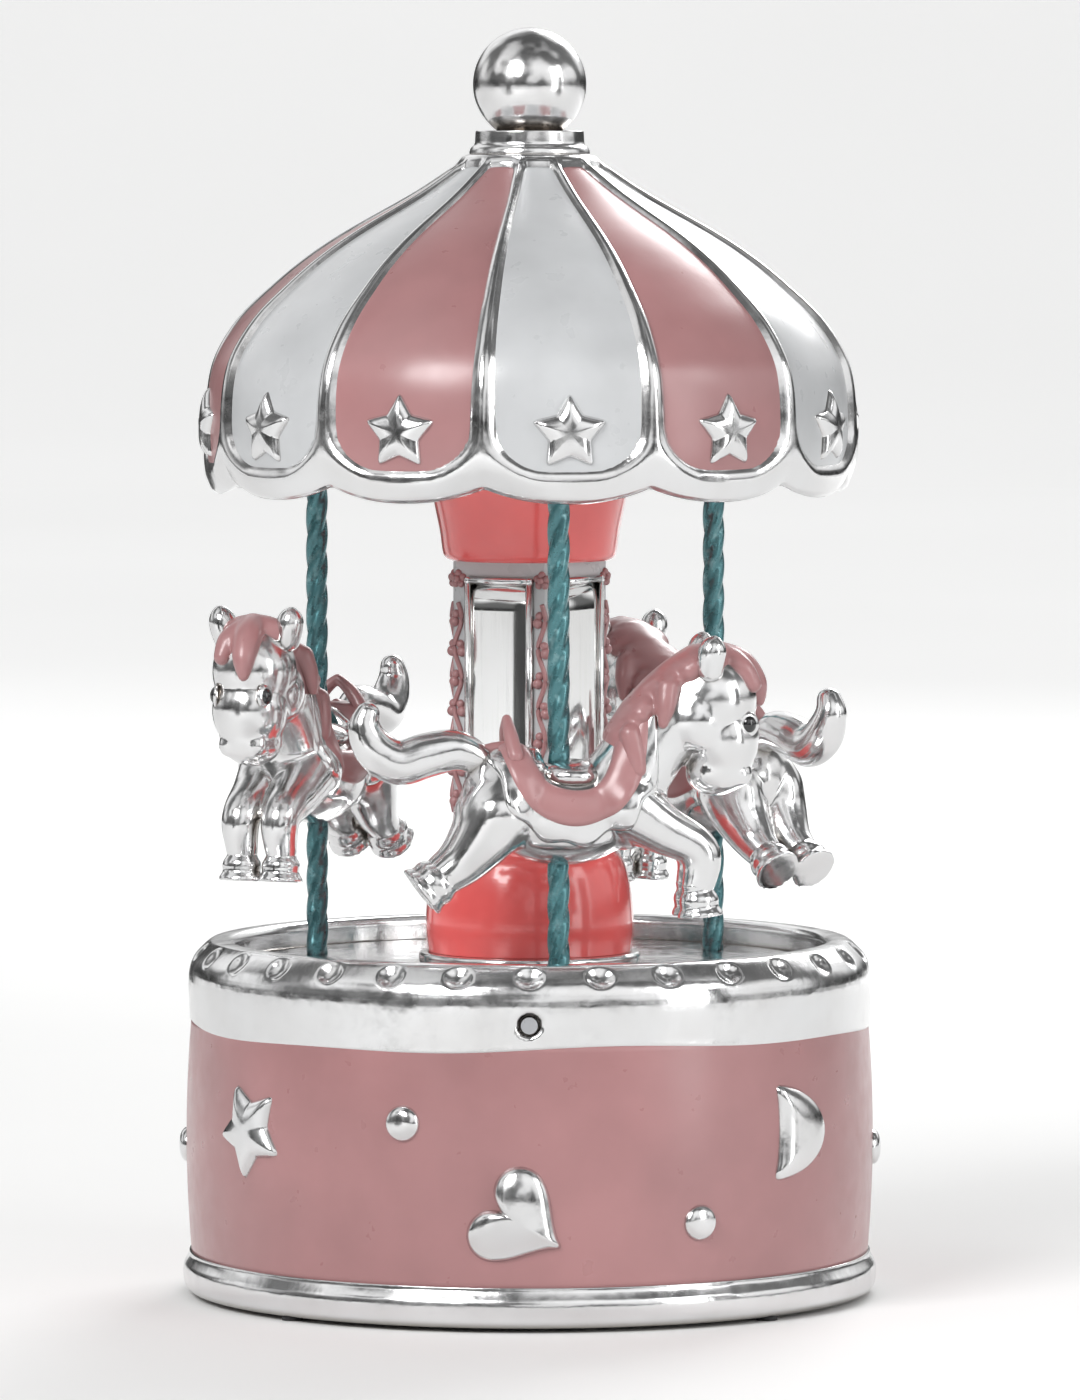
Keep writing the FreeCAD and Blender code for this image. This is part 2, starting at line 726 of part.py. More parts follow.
def cylinder_wheel():
    """The wheel on the outer end of the cylinder that drives the governor."""
    thickness = 1.0
    wheel = toothed("cylinder_wheel_blank", WHEEL_TEETH, dim("train_module"), sized(thickness))
    return laid_along_x("cylinder_wheel", wheel, CYLINDER_ARBOR_RADIUS, thickness, cylinder_end() + WHEEL_START, 0,
                        dim("cylinder_axis"), 0)


# ---------------------------------------------------------------- governor

GOVERNOR_ARBOR_RADIUS = 0.5
WORM_WHEEL_X = 35.9
WORM_WHEEL_WIDTH = 1.2
WORM_X = WORM_WHEEL_X + WORM_WHEEL_WIDTH / 2
FRAME_INNER_X = 34.3
FRAME_OUTER_X = 38.2
FRAME_THICKNESS = 0.8
WORM_BOTTOM_BRIDGE = 21.0
WORM_TOP_BRIDGE = 35.4
WORM_LENGTH = 5.0
FLY_BOTTOM = 36.6
FLY_TOP = 38.0


def governor_y():
    """How far the governor arbor lies behind the cylinder."""
    return dim("train_module") * ((WHEEL_TEETH + GOVERNOR_PINION_TEETH) / 2)


def worm_y():
    """How far the worm lies behind the cylinder."""
    return governor_y() - dim("worm_module") * (WORM_WHEEL_TEETH / 2) - dim("worm_pitch_radius")


def governor_frame():
    """The small frame with the bearings of the governor arbor and the worm."""
    _, floor = bed_levels()
    back = governor_y()
    front = worm_y() - 1.6
    end = FRAME_OUTER_X + FRAME_THICKNESS
    parts = [box("frame_foot", (FRAME_INNER_X, back - 2.5, floor), (end, back + 7.5, floor + 1)),
             box("frame_inner", (FRAME_INNER_X, back - 2.5, floor),
                 (FRAME_INNER_X + FRAME_THICKNESS, back + 2.5, WORM_TOP_BRIDGE + 1.0)),
             box("frame_outer", (FRAME_OUTER_X, back - 2.5, floor), (end, back + 2.5, WORM_TOP_BRIDGE + 1.0)),
             box("frame_low_bridge", (FRAME_INNER_X, front, WORM_BOTTOM_BRIDGE), (end, back, WORM_BOTTOM_BRIDGE + 1.0)),
             box("frame_top_bridge", (FRAME_INNER_X, front, WORM_TOP_BRIDGE), (end, back, WORM_TOP_BRIDGE + 1.0))]
    bore = GOVERNOR_ARBOR_RADIUS + dim("running_clearance")
    cuts = [rod_x("frame_arbor_bore", bore, FRAME_INNER_X - 1, end + 1, back, dim("cylinder_axis")),
            cylinder("frame_worm_bore", bore, 20, WORM_X, worm_y(), 20),
            cylinder("frame_screw_bore", SMALL_SCREW, 1.0, *GOVERNOR_SCREW, floor)]
    return cut("governor_frame", fused("frame_blank", parts), grouped("frame_cuts", cuts))


def governor_screw():
    """The screw that holds the governor frame on the bed."""
    _, floor = bed_levels()
    return screw("governor_screw", *GOVERNOR_SCREW, floor + 1, 2.6, head_below=False)


def governor_arbor():
    """The arbor of the governor pinion and the worm wheel."""
    return rod_x("governor_arbor", GOVERNOR_ARBOR_RADIUS, cylinder_end() + WHEEL_START - 0.2,
                 FRAME_OUTER_X + FRAME_THICKNESS + 0.3, governor_y(), dim("cylinder_axis"))


def governor_pinion():
    """The pinion that follows the cylinder wheel."""
    thickness = 1.0
    wheel = toothed("governor_pinion_blank", GOVERNOR_PINION_TEETH, dim("train_module"), sized(thickness))
    return laid_along_x("governor_pinion", wheel, GOVERNOR_ARBOR_RADIUS, thickness, cylinder_end() + WHEEL_START,
                        governor_y(), dim("cylinder_axis"), 360.0 / GOVERNOR_PINION_TEETH / 2)


def worm_wheel():
    """The wheel that drives the worm."""
    wheel = toothed("worm_wheel_blank", WORM_WHEEL_TEETH, dim("worm_module"), sized(WORM_WHEEL_WIDTH))
    return laid_along_x("worm_wheel", wheel, GOVERNOR_ARBOR_RADIUS, WORM_WHEEL_WIDTH, WORM_WHEEL_X, governor_y(),
                        dim("cylinder_axis"), 0)


def worm_shaft():
    """The upright shaft with a single-start worm."""
    pitch_radius, module = dim("worm_pitch_radius"), dim("worm_module")
    root, tip = pitch_radius - module * 1.2, pitch_radius + module * 0.8
    pitch = module * math.pi
    bottom = dim("cylinder_axis") - WORM_LENGTH / 2
    helix = document.addObject("Part::Helix", "worm_helix")
    bind(helix, "Pitch", pitch)
    bind(helix, "Height", WORM_LENGTH)
    bind(helix, "Radius", root)
    thread_outline = document.addObject("Sketcher::SketchObject", "worm_thread_outline")
    buried = root - 0.2
    draw(thread_outline, [(buried, -pitch * 0.2), (tip, -pitch * 0.1), (tip, pitch * 0.1), (buried, pitch * 0.2)])
    thread_outline.Placement = FreeCAD.Placement(CENTRE, FACING_FRONT)
    thread = document.addObject("Part::Sweep", "worm_thread")
    thread.Sections = [thread_outline]
    thread.Spine = (helix, ["Edge1"])
    thread.Solid = True
    thread.Frenet = True
    gap_side = 270.0
    phase = gap_side - 360.0 * WORM_LENGTH / 2 / pitch.value
    place(thread, WORM_X, worm_y(), bottom, phase)
    core = cylinder("worm_core", root, WORM_LENGTH + 1.2, WORM_X, worm_y(), bottom - 0.6)
    foot = WORM_BOTTOM_BRIDGE + 0.1
    rod = cylinder("worm_rod", GOVERNOR_ARBOR_RADIUS, FLY_TOP - foot, WORM_X, worm_y(), foot)
    return fused("worm_shaft", [rod, core, thread])


def fly_fan():
    """The two-bladed air brake on top of the worm shaft."""
    bottom, top, reach, half = FLY_BOTTOM, FLY_TOP, 5.0, 0.25
    hub = cylinder("fly_hub", 1.2, top - bottom, WORM_X, worm_y(), bottom)
    blades = box("fly_blades", (WORM_X - half, worm_y() - reach, bottom), (WORM_X + half, worm_y() + reach, top))
    bore = cylinder("fly_bore", GOVERNOR_ARBOR_RADIUS, top - bottom, WORM_X, worm_y(), bottom)
    return cut("fly_fan", fused("fly_blank", [hub, blades]), bore)


# ---------------------------------------------------------------- winding

def winding_key():
    """The two-winged key in the recess under the drum."""
    hub_bottom, hub_top, wing_bottom, wing_top = 1.6, 7.4, 1.2, 6.0
    wing_reach, wing_half = 11.5, 0.9
    hub = cylinder("key_hub", 3.4, hub_top - hub_bottom, 0, 0, hub_bottom)
    middle = (wing_bottom + wing_top) / 2
    half = (wing_top - wing_bottom) / 2
    web = box("key_web", (-wing_reach + half, -wing_half, wing_bottom), (wing_reach - half, wing_half, wing_top))
    ends = [cylinder(f"key_end_{number}", half, 2 * wing_half, side * (wing_reach - half), wing_half, middle, 90, ALONG_X)
            for number, side in enumerate((-1, 1), start=1)]
    bore = cylinder("key_bore", ARBOR_RADIUS, hub_top - 3.0, 0, 0, 3.0)
    return cut("winding_key", fused("key_blank", [hub, web] + ends), bore)


def winding_arbor():
    """The arbor that winds the mainspring."""
    return cylinder("winding_arbor", ARBOR_RADIUS, dim("barrel_top") - 1.6 - 3.0, 0, 0, 3.0)


def clutch_spring():
    """The one-way spring round the arbor, on the underside of the bed."""
    low = dim("cover_bottom")
    return ring("clutch_spring", ARBOR_RADIUS + dim("running_clearance"), 3.2, low - 0.6, low + dim("cover_thickness"))


# ---------------------------------------------------------------- spring barrel and spindle

CROWN_FACE = 24.4
CROWN_TOOTH_HEIGHT = 1.0
CROWN_FLANGE_BOTTOM = 23.0


def spring_barrel():
    """The barrel cup with its ring of crown teeth."""
    bottom, top, radius = dim("barrel_bottom"), dim("barrel_top"), dim("barrel_radius")
    flange = PINION_START + PINION_WIDTH
    barrel = revolved("spring_barrel", [
        (ARBOR_RADIUS + dim("running_clearance"), bottom), (radius, bottom), (radius, CROWN_FLANGE_BOTTOM),
        (flange, CROWN_FLANGE_BOTTOM), (flange, CROWN_FACE), (radius - 0.8, CROWN_FACE), (radius - 0.8, bottom + 0.8),
        (ARBOR_RADIUS + dim("running_clearance"), bottom + 0.8)])
    half_angle = math.radians(360.0 / CROWN_TEETH * 0.19)
    corners = [(reach * math.cos(side * half_angle), reach * math.sin(side * half_angle))
               for reach, side in ((PINION_START, 1), (PINION_START, -1), (flange, -1), (flange, 1))]
    tooth = barrel.newObject("PartDesign::Pad", "crown_tooth")
    tooth.Profile = sketch_in(barrel, "crown_tooth_outline", "XY_Plane", [corners], lift=CROWN_FACE - 0.2)
    bind(tooth, "Length", CROWN_TOOTH_HEIGHT + 0.2)
    document.recompute()
    pattern = barrel.newObject("PartDesign::PolarPattern", "crown_teeth")
    pattern.Originals = [tooth]
    pattern.Axis = (tooth.Profile[0], ["N_Axis"])
    pattern.Angle = 360
    pattern.Occurrences = CROWN_TEETH
    barrel.Tip = pattern
    return barrel


def barrel_cap():
    """The lid of the barrel, driven into its mouth and fixed on the spindle."""
    bottom, top = dim("barrel_top") - 1.2, dim("barrel_top")
    return ring("barrel_cap", dim("shaft_radius"), dim("barrel_radius") - 0.8, bottom, top)


def mainspring():
    """The spiral spring in the barrel, a strip of half turns whose radius grows at each."""
    strip, growth, first, half_turns = 0.3, 0.42, ARBOR_RADIUS + 0.5, 16
    low = dim("barrel_bottom").value + 1.3
    height = dim("barrel_top").value - 1.7 - low
    edges = {-1: [], 1: []}
    for side in edges:
        for number in range(half_turns):
            radius = first + growth * number + side * strip / 2
            shift = growth / 2 * (-1 if number % 2 else 1)
            facing = -1 if number % 2 else 1
            start = FreeCAD.Vector(shift - facing * radius, 0, low)
            middle = FreeCAD.Vector(shift, facing * radius, low)
            end = FreeCAD.Vector(shift + facing * radius, 0, low)
            edges[side].append((start, middle, end))
    inner = [Part.Arc(*ends).toShape() for ends in edges[-1]]
    outer = [Part.Arc(*ends).toShape() for ends in edges[1]]
    closing = [Part.makeLine(edges[-1][0][0], edges[1][0][0]), Part.makeLine(edges[-1][-1][2], edges[1][-1][2])]
    outline = Part.Wire(Part.__sortEdges__(inner + outer + closing))
    spring = document.addObject("Part::Feature", "mainspring")
    spring.Shape = Part.Face(outline).extrude(FreeCAD.Vector(0, 0, height))
    return spring


def drive_spindle():
    """The spindle from the barrel to the finial: thick in the bush, thin through the column."""
    thick, thin = dim("shaft_radius"), dim("spindle_radius")
    low, shoulder = dim("barrel_top") - 1.2, dim("platform_bottom")
    return revolved("drive_spindle", [(0, low), (thick, low), (thick, shoulder), (thin, shoulder),
                                      (thin, dim("canopy_top") + 5.0), (0, dim("canopy_top") + 5.0)])


def thrust_washer():
    """The washer between the bush and the platform."""
    top = dim("platform_bottom")
    return ring("thrust_washer", dim("shaft_radius"), 5.5, top - 0.4, top)


# ---------------------------------------------------------------- stage, column and poles

def pole_angles():
    """Where the poles stand."""
    return even_angles(PONIES, CAROUSEL_ANGLE)


def platform():
    """The turning stage."""
    bottom, top = dim("platform_bottom"), dim("platform_top")
    disc = revolved("platform_blank", [
        (dim("spindle_radius"), bottom), (dim("platform_radius"), bottom), (dim("platform_radius"), top - 0.4),
        (dim("platform_radius") - 0.4, top, 0.4), (dim("spindle_radius"), top)])
    sockets = around("pole_sockets", lambda name: cylinder(
        name, dim("pole_radius"), top - bottom, 0, -dim("pole_circle_radius"), bottom + 0.6), pole_angles())
    return cut("platform", disc, sockets)


def platform_nut():
    """The nut that clamps the platform on the shoulder of the spindle."""
    return hexagon_nut("platform_nut", 7.0, dim("spindle_radius"), 0, 0, dim("platform_top"), 2.4)


def pole(number):
    """One of the three upright poles."""
    angle = pole_angles()[number - 1]
    x, y = on_circle(dim("pole_circle_radius"), angle)
    bottom = dim("platform_bottom") + 0.6
    top = dim("ceiling_bottom") + dim("ceiling_thickness") + 2.4
    return cylinder(f"pole_{number}", dim("pole_radius"), top - bottom, x, y, bottom)


def pole_nuts():
    """The nuts over the ceiling plate that hold the poles."""
    bottom = dim("ceiling_bottom") + dim("ceiling_thickness")
    nuts = []
    for number, angle in enumerate(pole_angles(), start=1):
        x, y = on_circle(dim("pole_circle_radius"), angle)
        nuts.append(hexagon_nut(f"pole_nut_{number}", 5.5, dim("pole_radius"), x, y, bottom, 2.0))
    return grouped("pole_nuts", nuts)


def column_foot_ring():
    """The plain ring under the column."""
    bottom = dim("platform_top")
    outer = dim("column_ring_radius")
    return revolved("column_foot_ring", [(5.0, bottom), (outer, bottom), (outer, bottom + 1.0),
                                         (outer - 0.6, bottom + 1.6, 0.6), (5.0, bottom + 1.6)])


def column_lower_drum():
    """The enamelled lower drum of the column, its shoulder rounded towards the waist."""
    bottom, top, radius = dim("platform_top") + 1.6, dim("column_drum_top"), dim("column_drum_radius")
    waist = dim("column_corner_radius") + 0.3
    return revolved("column_lower_drum", [(5.0, bottom), (radius - 0.5, bottom), (radius, bottom + 3.0, 9.0),
                                          (radius - 0.6, top - 4.0, 30.0), (waist, top, 4.5), (5.0, top)])


def column_core():
    """The square waist of the column, with a shallow bed for a mirror on each face."""
    bottom, top = dim("column_drum_top"), dim("column_top")
    corner = dim("column_corner_radius")
    trimmed = 0.93
    outline = []
    for turn in even_angles(4, COLUMN_FACE_ANGLE + 45.0):
        for side in (-4.0, 4.0):
            outline.append(on_circle(corner * trimmed, turn + side))
    outline.reverse()
    solid = plate("column_blank", [outline], bottom, top - bottom)
    bore = cylinder("column_bore", 4.5, top - bottom, 0, 0, bottom)
    beds = around("mirror_beds", lambda name: mirror_block(name), even_angles(4, COLUMN_FACE_ANGLE))
    return cut("column_core", cut("column_hollow", solid, bore), beds)


def mirror_block(label):
    """The space that one mirror fills, at the front."""
    half = dim("mirror_width") / 2
    face = dim("column_corner_radius") * (math.cos(math.radians(45)) * 0.93) + 0.6
    low, high = dim("column_drum_top") + 3.5, dim("column_top") - 2.6
    return box(label, (-half, -face, low), (half, -(face - dim("mirror_thickness")), high))


def mirror_panels():
    """The four polished panels of the column."""
    return around("mirror_panels", lambda name: mirror_block(name), even_angles(4, COLUMN_FACE_ANGLE))


def column_capital():
    """The enamelled upper drum of the column, flared towards the ceiling."""
    bottom, top = dim("column_top"), dim("ceiling_bottom")
    bore = dim("spindle_radius") + dim("press_clearance")
    waist = dim("column_corner_radius") + 0.3
    return revolved("column_capital", [(bore, bottom), (waist, bottom), (waist + 0.3, bottom + 3.0),
                                       (13.4, top, -16.0), (bore, top)])


# ---------------------------------------------------------------- canopy

def ceiling_plate():
    """The disc that closes the canopy from below and holds the heads of the poles."""
    bottom, top = dim("ceiling_bottom"), dim("ceiling_bottom") + dim("ceiling_thickness")
    disc = ring("ceiling_blank", dim("spindle_radius") + dim("press_clearance"), dim("ceiling_radius"), bottom, top)
    holes = around("ceiling_holes", lambda name: cylinder(
        name, dim("pole_radius"), top - bottom, 0, -dim("pole_circle_radius"), bottom), pole_angles())
    return cut("ceiling_plate", disc, holes)


def roof_curve(inset):
    """The outer line of the canopy from its lower edge to its crown, moved inwards by an inset."""
    edge, shoulder, top = dim("canopy_bottom"), dim("canopy_shoulder"), dim("canopy_top")
    radius = dim("canopy_radius") - inset
    drop = sized(inset)
    return [(radius - 2.1, edge), (radius, shoulder, 22.0), (radius - 5.4, shoulder + 15.4 - drop * 0.4, 21.0),
            (radius - 19.6, shoulder + 26.6 - drop * 0.8, 60.0), (7.4, top - drop, -70.0)]


def roof_layer(label, inset, depth):
    """The layer of the canopy between two insets."""
    outer, inner = roof_curve(inset), roof_curve(sized(inset) + depth)
    inward = [inner[-1][:2]]
    for index in range(len(inner) - 1, 0, -1):
        inward.append((*inner[index - 1][:2], -sized(inner[index][2])))
    return revolved(label, outer[:1] + outer[1:] + inward)


def canopy_blank():
    """The plain canopy: a domed wall with a rebate for the ceiling plate and a solid crown."""
    outer = roof_curve(0)
    inner = roof_curve(dim("canopy_wall"))
    seat = dim("ceiling_bottom") + dim("ceiling_thickness")
    fit = dim("ceiling_radius") + 0.2
    bore = dim("spindle_radius") + dim("press_clearance")
    crown = dim("canopy_top") - 4.0
    inward = [(bore, dim("canopy_top")), (bore, crown), (12.0, crown - 4.0),
              (*inner[3][:2], 70.0), (*inner[2][:2], -60.0), (*inner[1][:2], -21.0),
              (fit - 1.0, seat + 1.6), (fit - 1.0, seat), (fit, seat), (fit, dim("canopy_bottom"))]
    return revolved("canopy_blank", outer + inward)


def scallop_cuts():
    """The notches under the ribs that leave each panel a rounded lower edge."""
    half_angle = 180.0 / CANOPY_PANELS
    half = dim("canopy_radius") * math.sin(math.radians(half_angle))
    rise = dim("scallop_rise")
    bow = (half * half + rise * rise) / (rise * 2)
    below = 3.0
    outline = [(-half, -below), (half, -below), (half, 0), (0, rise, -bow), (-half, 0, -bow)]
    placings = [(angle, dim("canopy_bottom"), 0) for angle in even_angles(CANOPY_PANELS, CAROUSEL_ANGLE + half_angle)]
    return relief_prisms("scallop_cuts", outline, 0, 30, 50, placings)


def panel_prism_pairs(label, angles):
    """The space of several enamel fields: between two ribs, and over a border with round corners."""
    half_angle = 180.0 / CANOPY_PANELS
    rib = dim("rib_width") / 2
    slope = math.tan(math.radians(half_angle))
    narrow_end, wide_end = 9.0, 47.0
    wedge_corners = [(narrow_end * slope - rib * 0.45, -narrow_end), (wide_end * slope - rib, -wide_end),
                     (-(wide_end * slope - rib), -wide_end), (-(narrow_end * slope - rib * 0.45), -narrow_end)]
    corner = 6.0
    half = sized(wide_end * slope + 0.5)
    low, high = dim("canopy_bottom") + 3.4, dim("canopy_top") - 2.2
    round_half = dim("canopy_radius") * slope - rib
    front = [(round_half - corner, low), (round_half, low + corner, corner), (half, low + corner + 0.1), (half, high),
             (-half, high), (-half, low + corner + 0.1), (-round_half, low + corner), (corner - round_half, low, corner)]
    wedges = around(f"{label}_wedges", lambda name: plate(
        name, [wedge_corners], dim("canopy_bottom"), dim("canopy_top") - dim("canopy_bottom")), angles)
    fronts = relief_prisms(f"{label}_fronts", front, 0, 5, 50, [(angle, 0, 0) for angle in angles])
    spaces = [common(f"{label}_space_{number}", wedge, outer)
              for number, (wedge, outer) in enumerate(zip(wedges.Links, fronts.Links), start=1)]
    return grouped(f"{label}_space", spaces)


FIELD_DEPTH = 0.9
FIELD_ENAMEL = 0.5


def canopy_parts():
    """The cast canopy with its recessed fields, and the two colours of enamel that lie in them."""
    step = 360.0 / CANOPY_PANELS
    angles = {"canopy_satin_enamel": even_angles(PONIES * 2, CAROUSEL_ANGLE),
              "canopy_pink_enamel": even_angles(PONIES * 2, CAROUSEL_ANGLE + step)}
    spaces = {name: panel_prism_pairs(name, where) for name, where in angles.items()}
    cast = cut("canopy_scalloped", canopy_blank(), scallop_cuts())
    recess = roof_layer("field_recess", -1.0, 1.0 + FIELD_DEPTH)
    for name, space in spaces.items():
        cast = cut(f"canopy_without_{name}", cast, common(f"{name}_recess", space, recess))
    filling = roof_layer("field_filling", FIELD_DEPTH - FIELD_ENAMEL, FIELD_ENAMEL)
    enamels = [common(name, space, filling) for name, space in spaces.items()]
    cast.Label = "canopy_shell"
    return [cast] + enamels


def canopy_stars():
    """One raised star on each panel."""
    placings = [(angle, dim("canopy_shoulder") + 0.2, 0) for angle in even_angles(CANOPY_PANELS, CAROUSEL_ANGLE)]
    prisms = relief_prisms("canopy_star_prisms", star_outline(dim("star_radius")), 0, 38, 48, placings)
    layer = roof_layer("star_layer", FIELD_DEPTH - FIELD_ENAMEL - 1.1, 1.1)
    return common("canopy_stars", prisms, layer)


def finial_collar():
    """The flared neck on the crown of the canopy."""
    bottom = dim("canopy_top")
    bore = dim("spindle_radius") + dim("press_clearance")
    neck = dim("neck_radius")
    return revolved("finial_collar", [(bore, bottom), (7.3, bottom), (neck, bottom + 1.6, -2.2), (neck, bottom + 2.5),
                                      (bore, bottom + 2.5)])


def finial_ball():
    """The ball that screws on the spindle and clamps the canopy, the column and the stage together."""
    radius, neck = dim("ball_radius"), dim("neck_radius")
    flat = dim("canopy_top") + 2.5
    centre = dim("ball_centre")
    bore = dim("spindle_radius")
    return revolved("finial_ball", [(bore, flat), (neck, flat), (radius, centre, radius), (0, centre + radius, radius),
                                    (0, dim("canopy_top") + 5.2), (bore, dim("canopy_top") + 5.2)])


# ---------------------------------------------------------------- ponies

PONY_LIMBS = {
    "neck_root": ((7.0, 70.0), (15.0, 80.0), 5.4, 4.4, 0.0),
    "neck_crest": ((15.0, 80.0), (19.5, 85.0), 4.4, 3.4, 0.0),
    "head": ((20.5, 84.5), (23.0, 73.0), 3.7, 2.2, 0.0),
    "mane": ((8.5, 79.0), (17.5, 86.5), 1.6, 2.0, 0.0),
    "tail_root": ((-10.5, 74.5), (-19.0, 74.0), 2.0, 2.6, 0.0),
    "tail_tip": ((-19.0, 74.0), (-25.0, 79.0), 2.6, 1.2, 0.0),
    "left_thigh": ((-8.5, 68.0), (-13.5, 61.0), 4.2, 2.0, 2.8),
    "left_shank": ((-13.5, 61.0), (-16.0, 54.0), 2.0, 1.5, 2.8),
    "right_thigh": ((-8.5, 68.0), (-14.5, 62.5), 4.2, 2.0, -2.8),
    "right_shank": ((-14.5, 62.5), (-20.5, 60.5), 2.0, 1.5, -2.8),
    "left_forearm": ((9.5, 66.0), (18.0, 63.5), 3.6, 1.9, 2.6),
    "left_cannon": ((18.0, 63.5), (17.0, 57.0), 1.9, 1.5, 2.6),
    "right_forearm": ((9.0, 65.0), (17.0, 60.5), 3.6, 1.9, -2.6),
    "right_cannon": ((17.0, 60.5), (19.0, 54.0), 1.9, 1.5, -2.6),
}
PONY_TRUNK = {"barrel": ((0.5, 67.2), 10.5, 5.6, 6.9), "rump": ((-6.5, 69.0), 6.2, 6.0, 6.6),
              "chest": ((8.0, 68.6), 6.4, 5.6, 6.8)}
PONY_LIFTS = (0.0, 0.0, 2.5)
KNUCKLE = 1.05


def pony_casting():
    """A leaping pony at the centre of the frame, facing +X, with the way of its pole through it."""
    parts = []
    for name, ((along, height), long, wide, tall) in PONY_TRUNK.items():
        trunk = document.addObject("Part::Ellipsoid", f"pony_{name}")
        for path, size in (("Radius2", long), ("Radius3", wide), ("Radius1", tall)):
            bind(trunk, path, size)
        parts.append(place(trunk, along, 0, height))
    knuckles = {}
    for name, (start, end, near, far, side) in PONY_LIMBS.items():
        first = FreeCAD.Vector(start[0], side, start[1])
        last = FreeCAD.Vector(end[0], side, end[1])
        parts.append(limb(f"pony_{name}", first, last, near, far))
        for centre, radius in ((first, near), (last, far)):
            knuckles[tuple(centre)] = max(radius, knuckles.get(tuple(centre), 0))
    for index, (centre, radius) in enumerate(knuckles.items(), start=1):
        ball = document.addObject("Part::Sphere", f"pony_knuckle_{index}")
        bind(ball, "Radius", radius * KNUCKLE)
        parts.append(place(ball, *centre))
    cast = parts[0]
    for index, piece in enumerate(parts[1:], start=1):
        joined = document.addObject("Part::Fuse", f"pony_cast_{index}")
        joined.Base = cast
        joined.Tool = piece
        cast = joined
    return cut("pony_casting", cast, cylinder("pony_way", dim("pole_radius"), dim("ceiling_bottom")))


def pony(number, casting):
    """One of the ponies on its pole, facing the way the carousel turns."""
    angle = pole_angles()[number - 1]
    return place(grouped(f"pony_{number}", [casting]), *on_circle(dim("pole_circle_radius"), angle),
                 PONY_LIFTS[number - 1], angle)


def limb(label, first, last, near, far):
    """A tapered rod between two points."""
    cone = document.addObject("Part::Cone", label)
    bind(cone, "Radius1", near)
    bind(cone, "Radius2", far)
    bind(cone, "Height", (last - first).Length)
    cone.Placement = FreeCAD.Placement(first, FreeCAD.Rotation(UP, last - first))
    return cone


# ---------------------------------------------------------------- assembly and export

def all_pieces():
    """Every separate piece of the music box."""
    pieces = [base_casing(), drum_enamel(), deck_plate(), deck_screws(), shaft_bush(), feet(), bottom_cover(),
              cover_screws(), movement_screws(), bedplate(), tone_comb(), comb_screws(), governor_frame(),
              governor_screw(), clutch_spring(), winding_key(), winding_arbor(), pin_cylinder(), cylinder_pins(),
              cylinder_arbor(), cylinder_pinion(), cylinder_wheel(), governor_arbor(), governor_pinion(), worm_wheel(),
              worm_shaft(), fly_fan(), spring_barrel(), barrel_cap(), mainspring(), drive_spindle(), thrust_washer(),
              platform(), platform_nut(), pole_nuts(), column_foot_ring(), column_lower_drum(), column_core(),
              mirror_panels(), column_capital(), ceiling_plate(), canopy_stars(), finial_collar(), finial_ball()]
    pieces += [band_ornaments(label) for label in BAND_ORNAMENTS]
    pieces += canopy_parts()
    casting = pony_casting()
    for number in range(1, PONIES + 1):
        pieces += [pole(number), pony(number, casting)]
    return pieces


def check(pieces):
    """Stop if any object failed or any piece isn't a valid solid."""
    for thing in document.Objects:
        if "Invalid" in thing.State or "Error" in thing.State:
            raise RuntimeError(f"{thing.Name} did not compute: {thing.State}")
    for piece in pieces:
        shape = piece.Shape
        if shape.isNull() or not shape.isValid() or not shape.Solids:
            raise RuntimeError(f"{piece.Label} is not a valid solid")


def export(pieces):
    """Write one STEP file for each piece."""
    os.makedirs("parts", exist_ok=True)
    for piece in pieces:
        piece.Shape.exportStep(f"parts/{piece.Label}.step")


PIECES = all_pieces()
document.recompute()
check(PIECES)
export(PIECES)
for part in PIECES:
    print(f"{part.Label}: {len(part.Shape.Solids)} solids, {part.Shape.Volume:.1f} mm3")
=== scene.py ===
"""Looks of the carousel music box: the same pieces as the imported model, in metres, with their finish."""
import json
import math

import bmesh
import bpy
from mathutils import Matrix, Vector
from mathutils.bvhtree import BVHTree


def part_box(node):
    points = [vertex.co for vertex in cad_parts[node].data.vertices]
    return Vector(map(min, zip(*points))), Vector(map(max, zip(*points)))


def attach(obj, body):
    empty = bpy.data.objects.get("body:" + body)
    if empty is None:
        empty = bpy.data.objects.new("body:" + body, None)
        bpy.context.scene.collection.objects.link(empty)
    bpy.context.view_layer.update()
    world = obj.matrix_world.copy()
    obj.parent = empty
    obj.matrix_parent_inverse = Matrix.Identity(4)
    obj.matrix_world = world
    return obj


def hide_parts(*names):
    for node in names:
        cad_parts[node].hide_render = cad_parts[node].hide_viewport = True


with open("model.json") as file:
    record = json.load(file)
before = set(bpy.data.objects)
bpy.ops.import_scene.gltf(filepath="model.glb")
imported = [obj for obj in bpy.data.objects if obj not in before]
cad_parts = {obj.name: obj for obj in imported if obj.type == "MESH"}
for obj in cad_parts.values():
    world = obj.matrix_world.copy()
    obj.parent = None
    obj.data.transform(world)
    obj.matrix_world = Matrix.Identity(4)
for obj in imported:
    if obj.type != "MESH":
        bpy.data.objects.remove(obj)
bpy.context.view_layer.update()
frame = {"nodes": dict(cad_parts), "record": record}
MM = 0.001
TURN = 2 * math.pi

# ---------------------------------------------------------------- places, from the frame


def low(node):
    """The lowest corner of a node."""
    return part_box(node)[0]


def high(node):
    """The highest corner of a node."""
    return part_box(node)[1]


def middle(node):
    """The middle of a node's box."""
    return (low(node) + high(node)) / 2


PANELS = 12
PONIES = 3
POLE_SPOT = middle("pole_1")
CAROUSEL_ANGLE = math.atan2(POLE_SPOT.x, -POLE_SPOT.y)

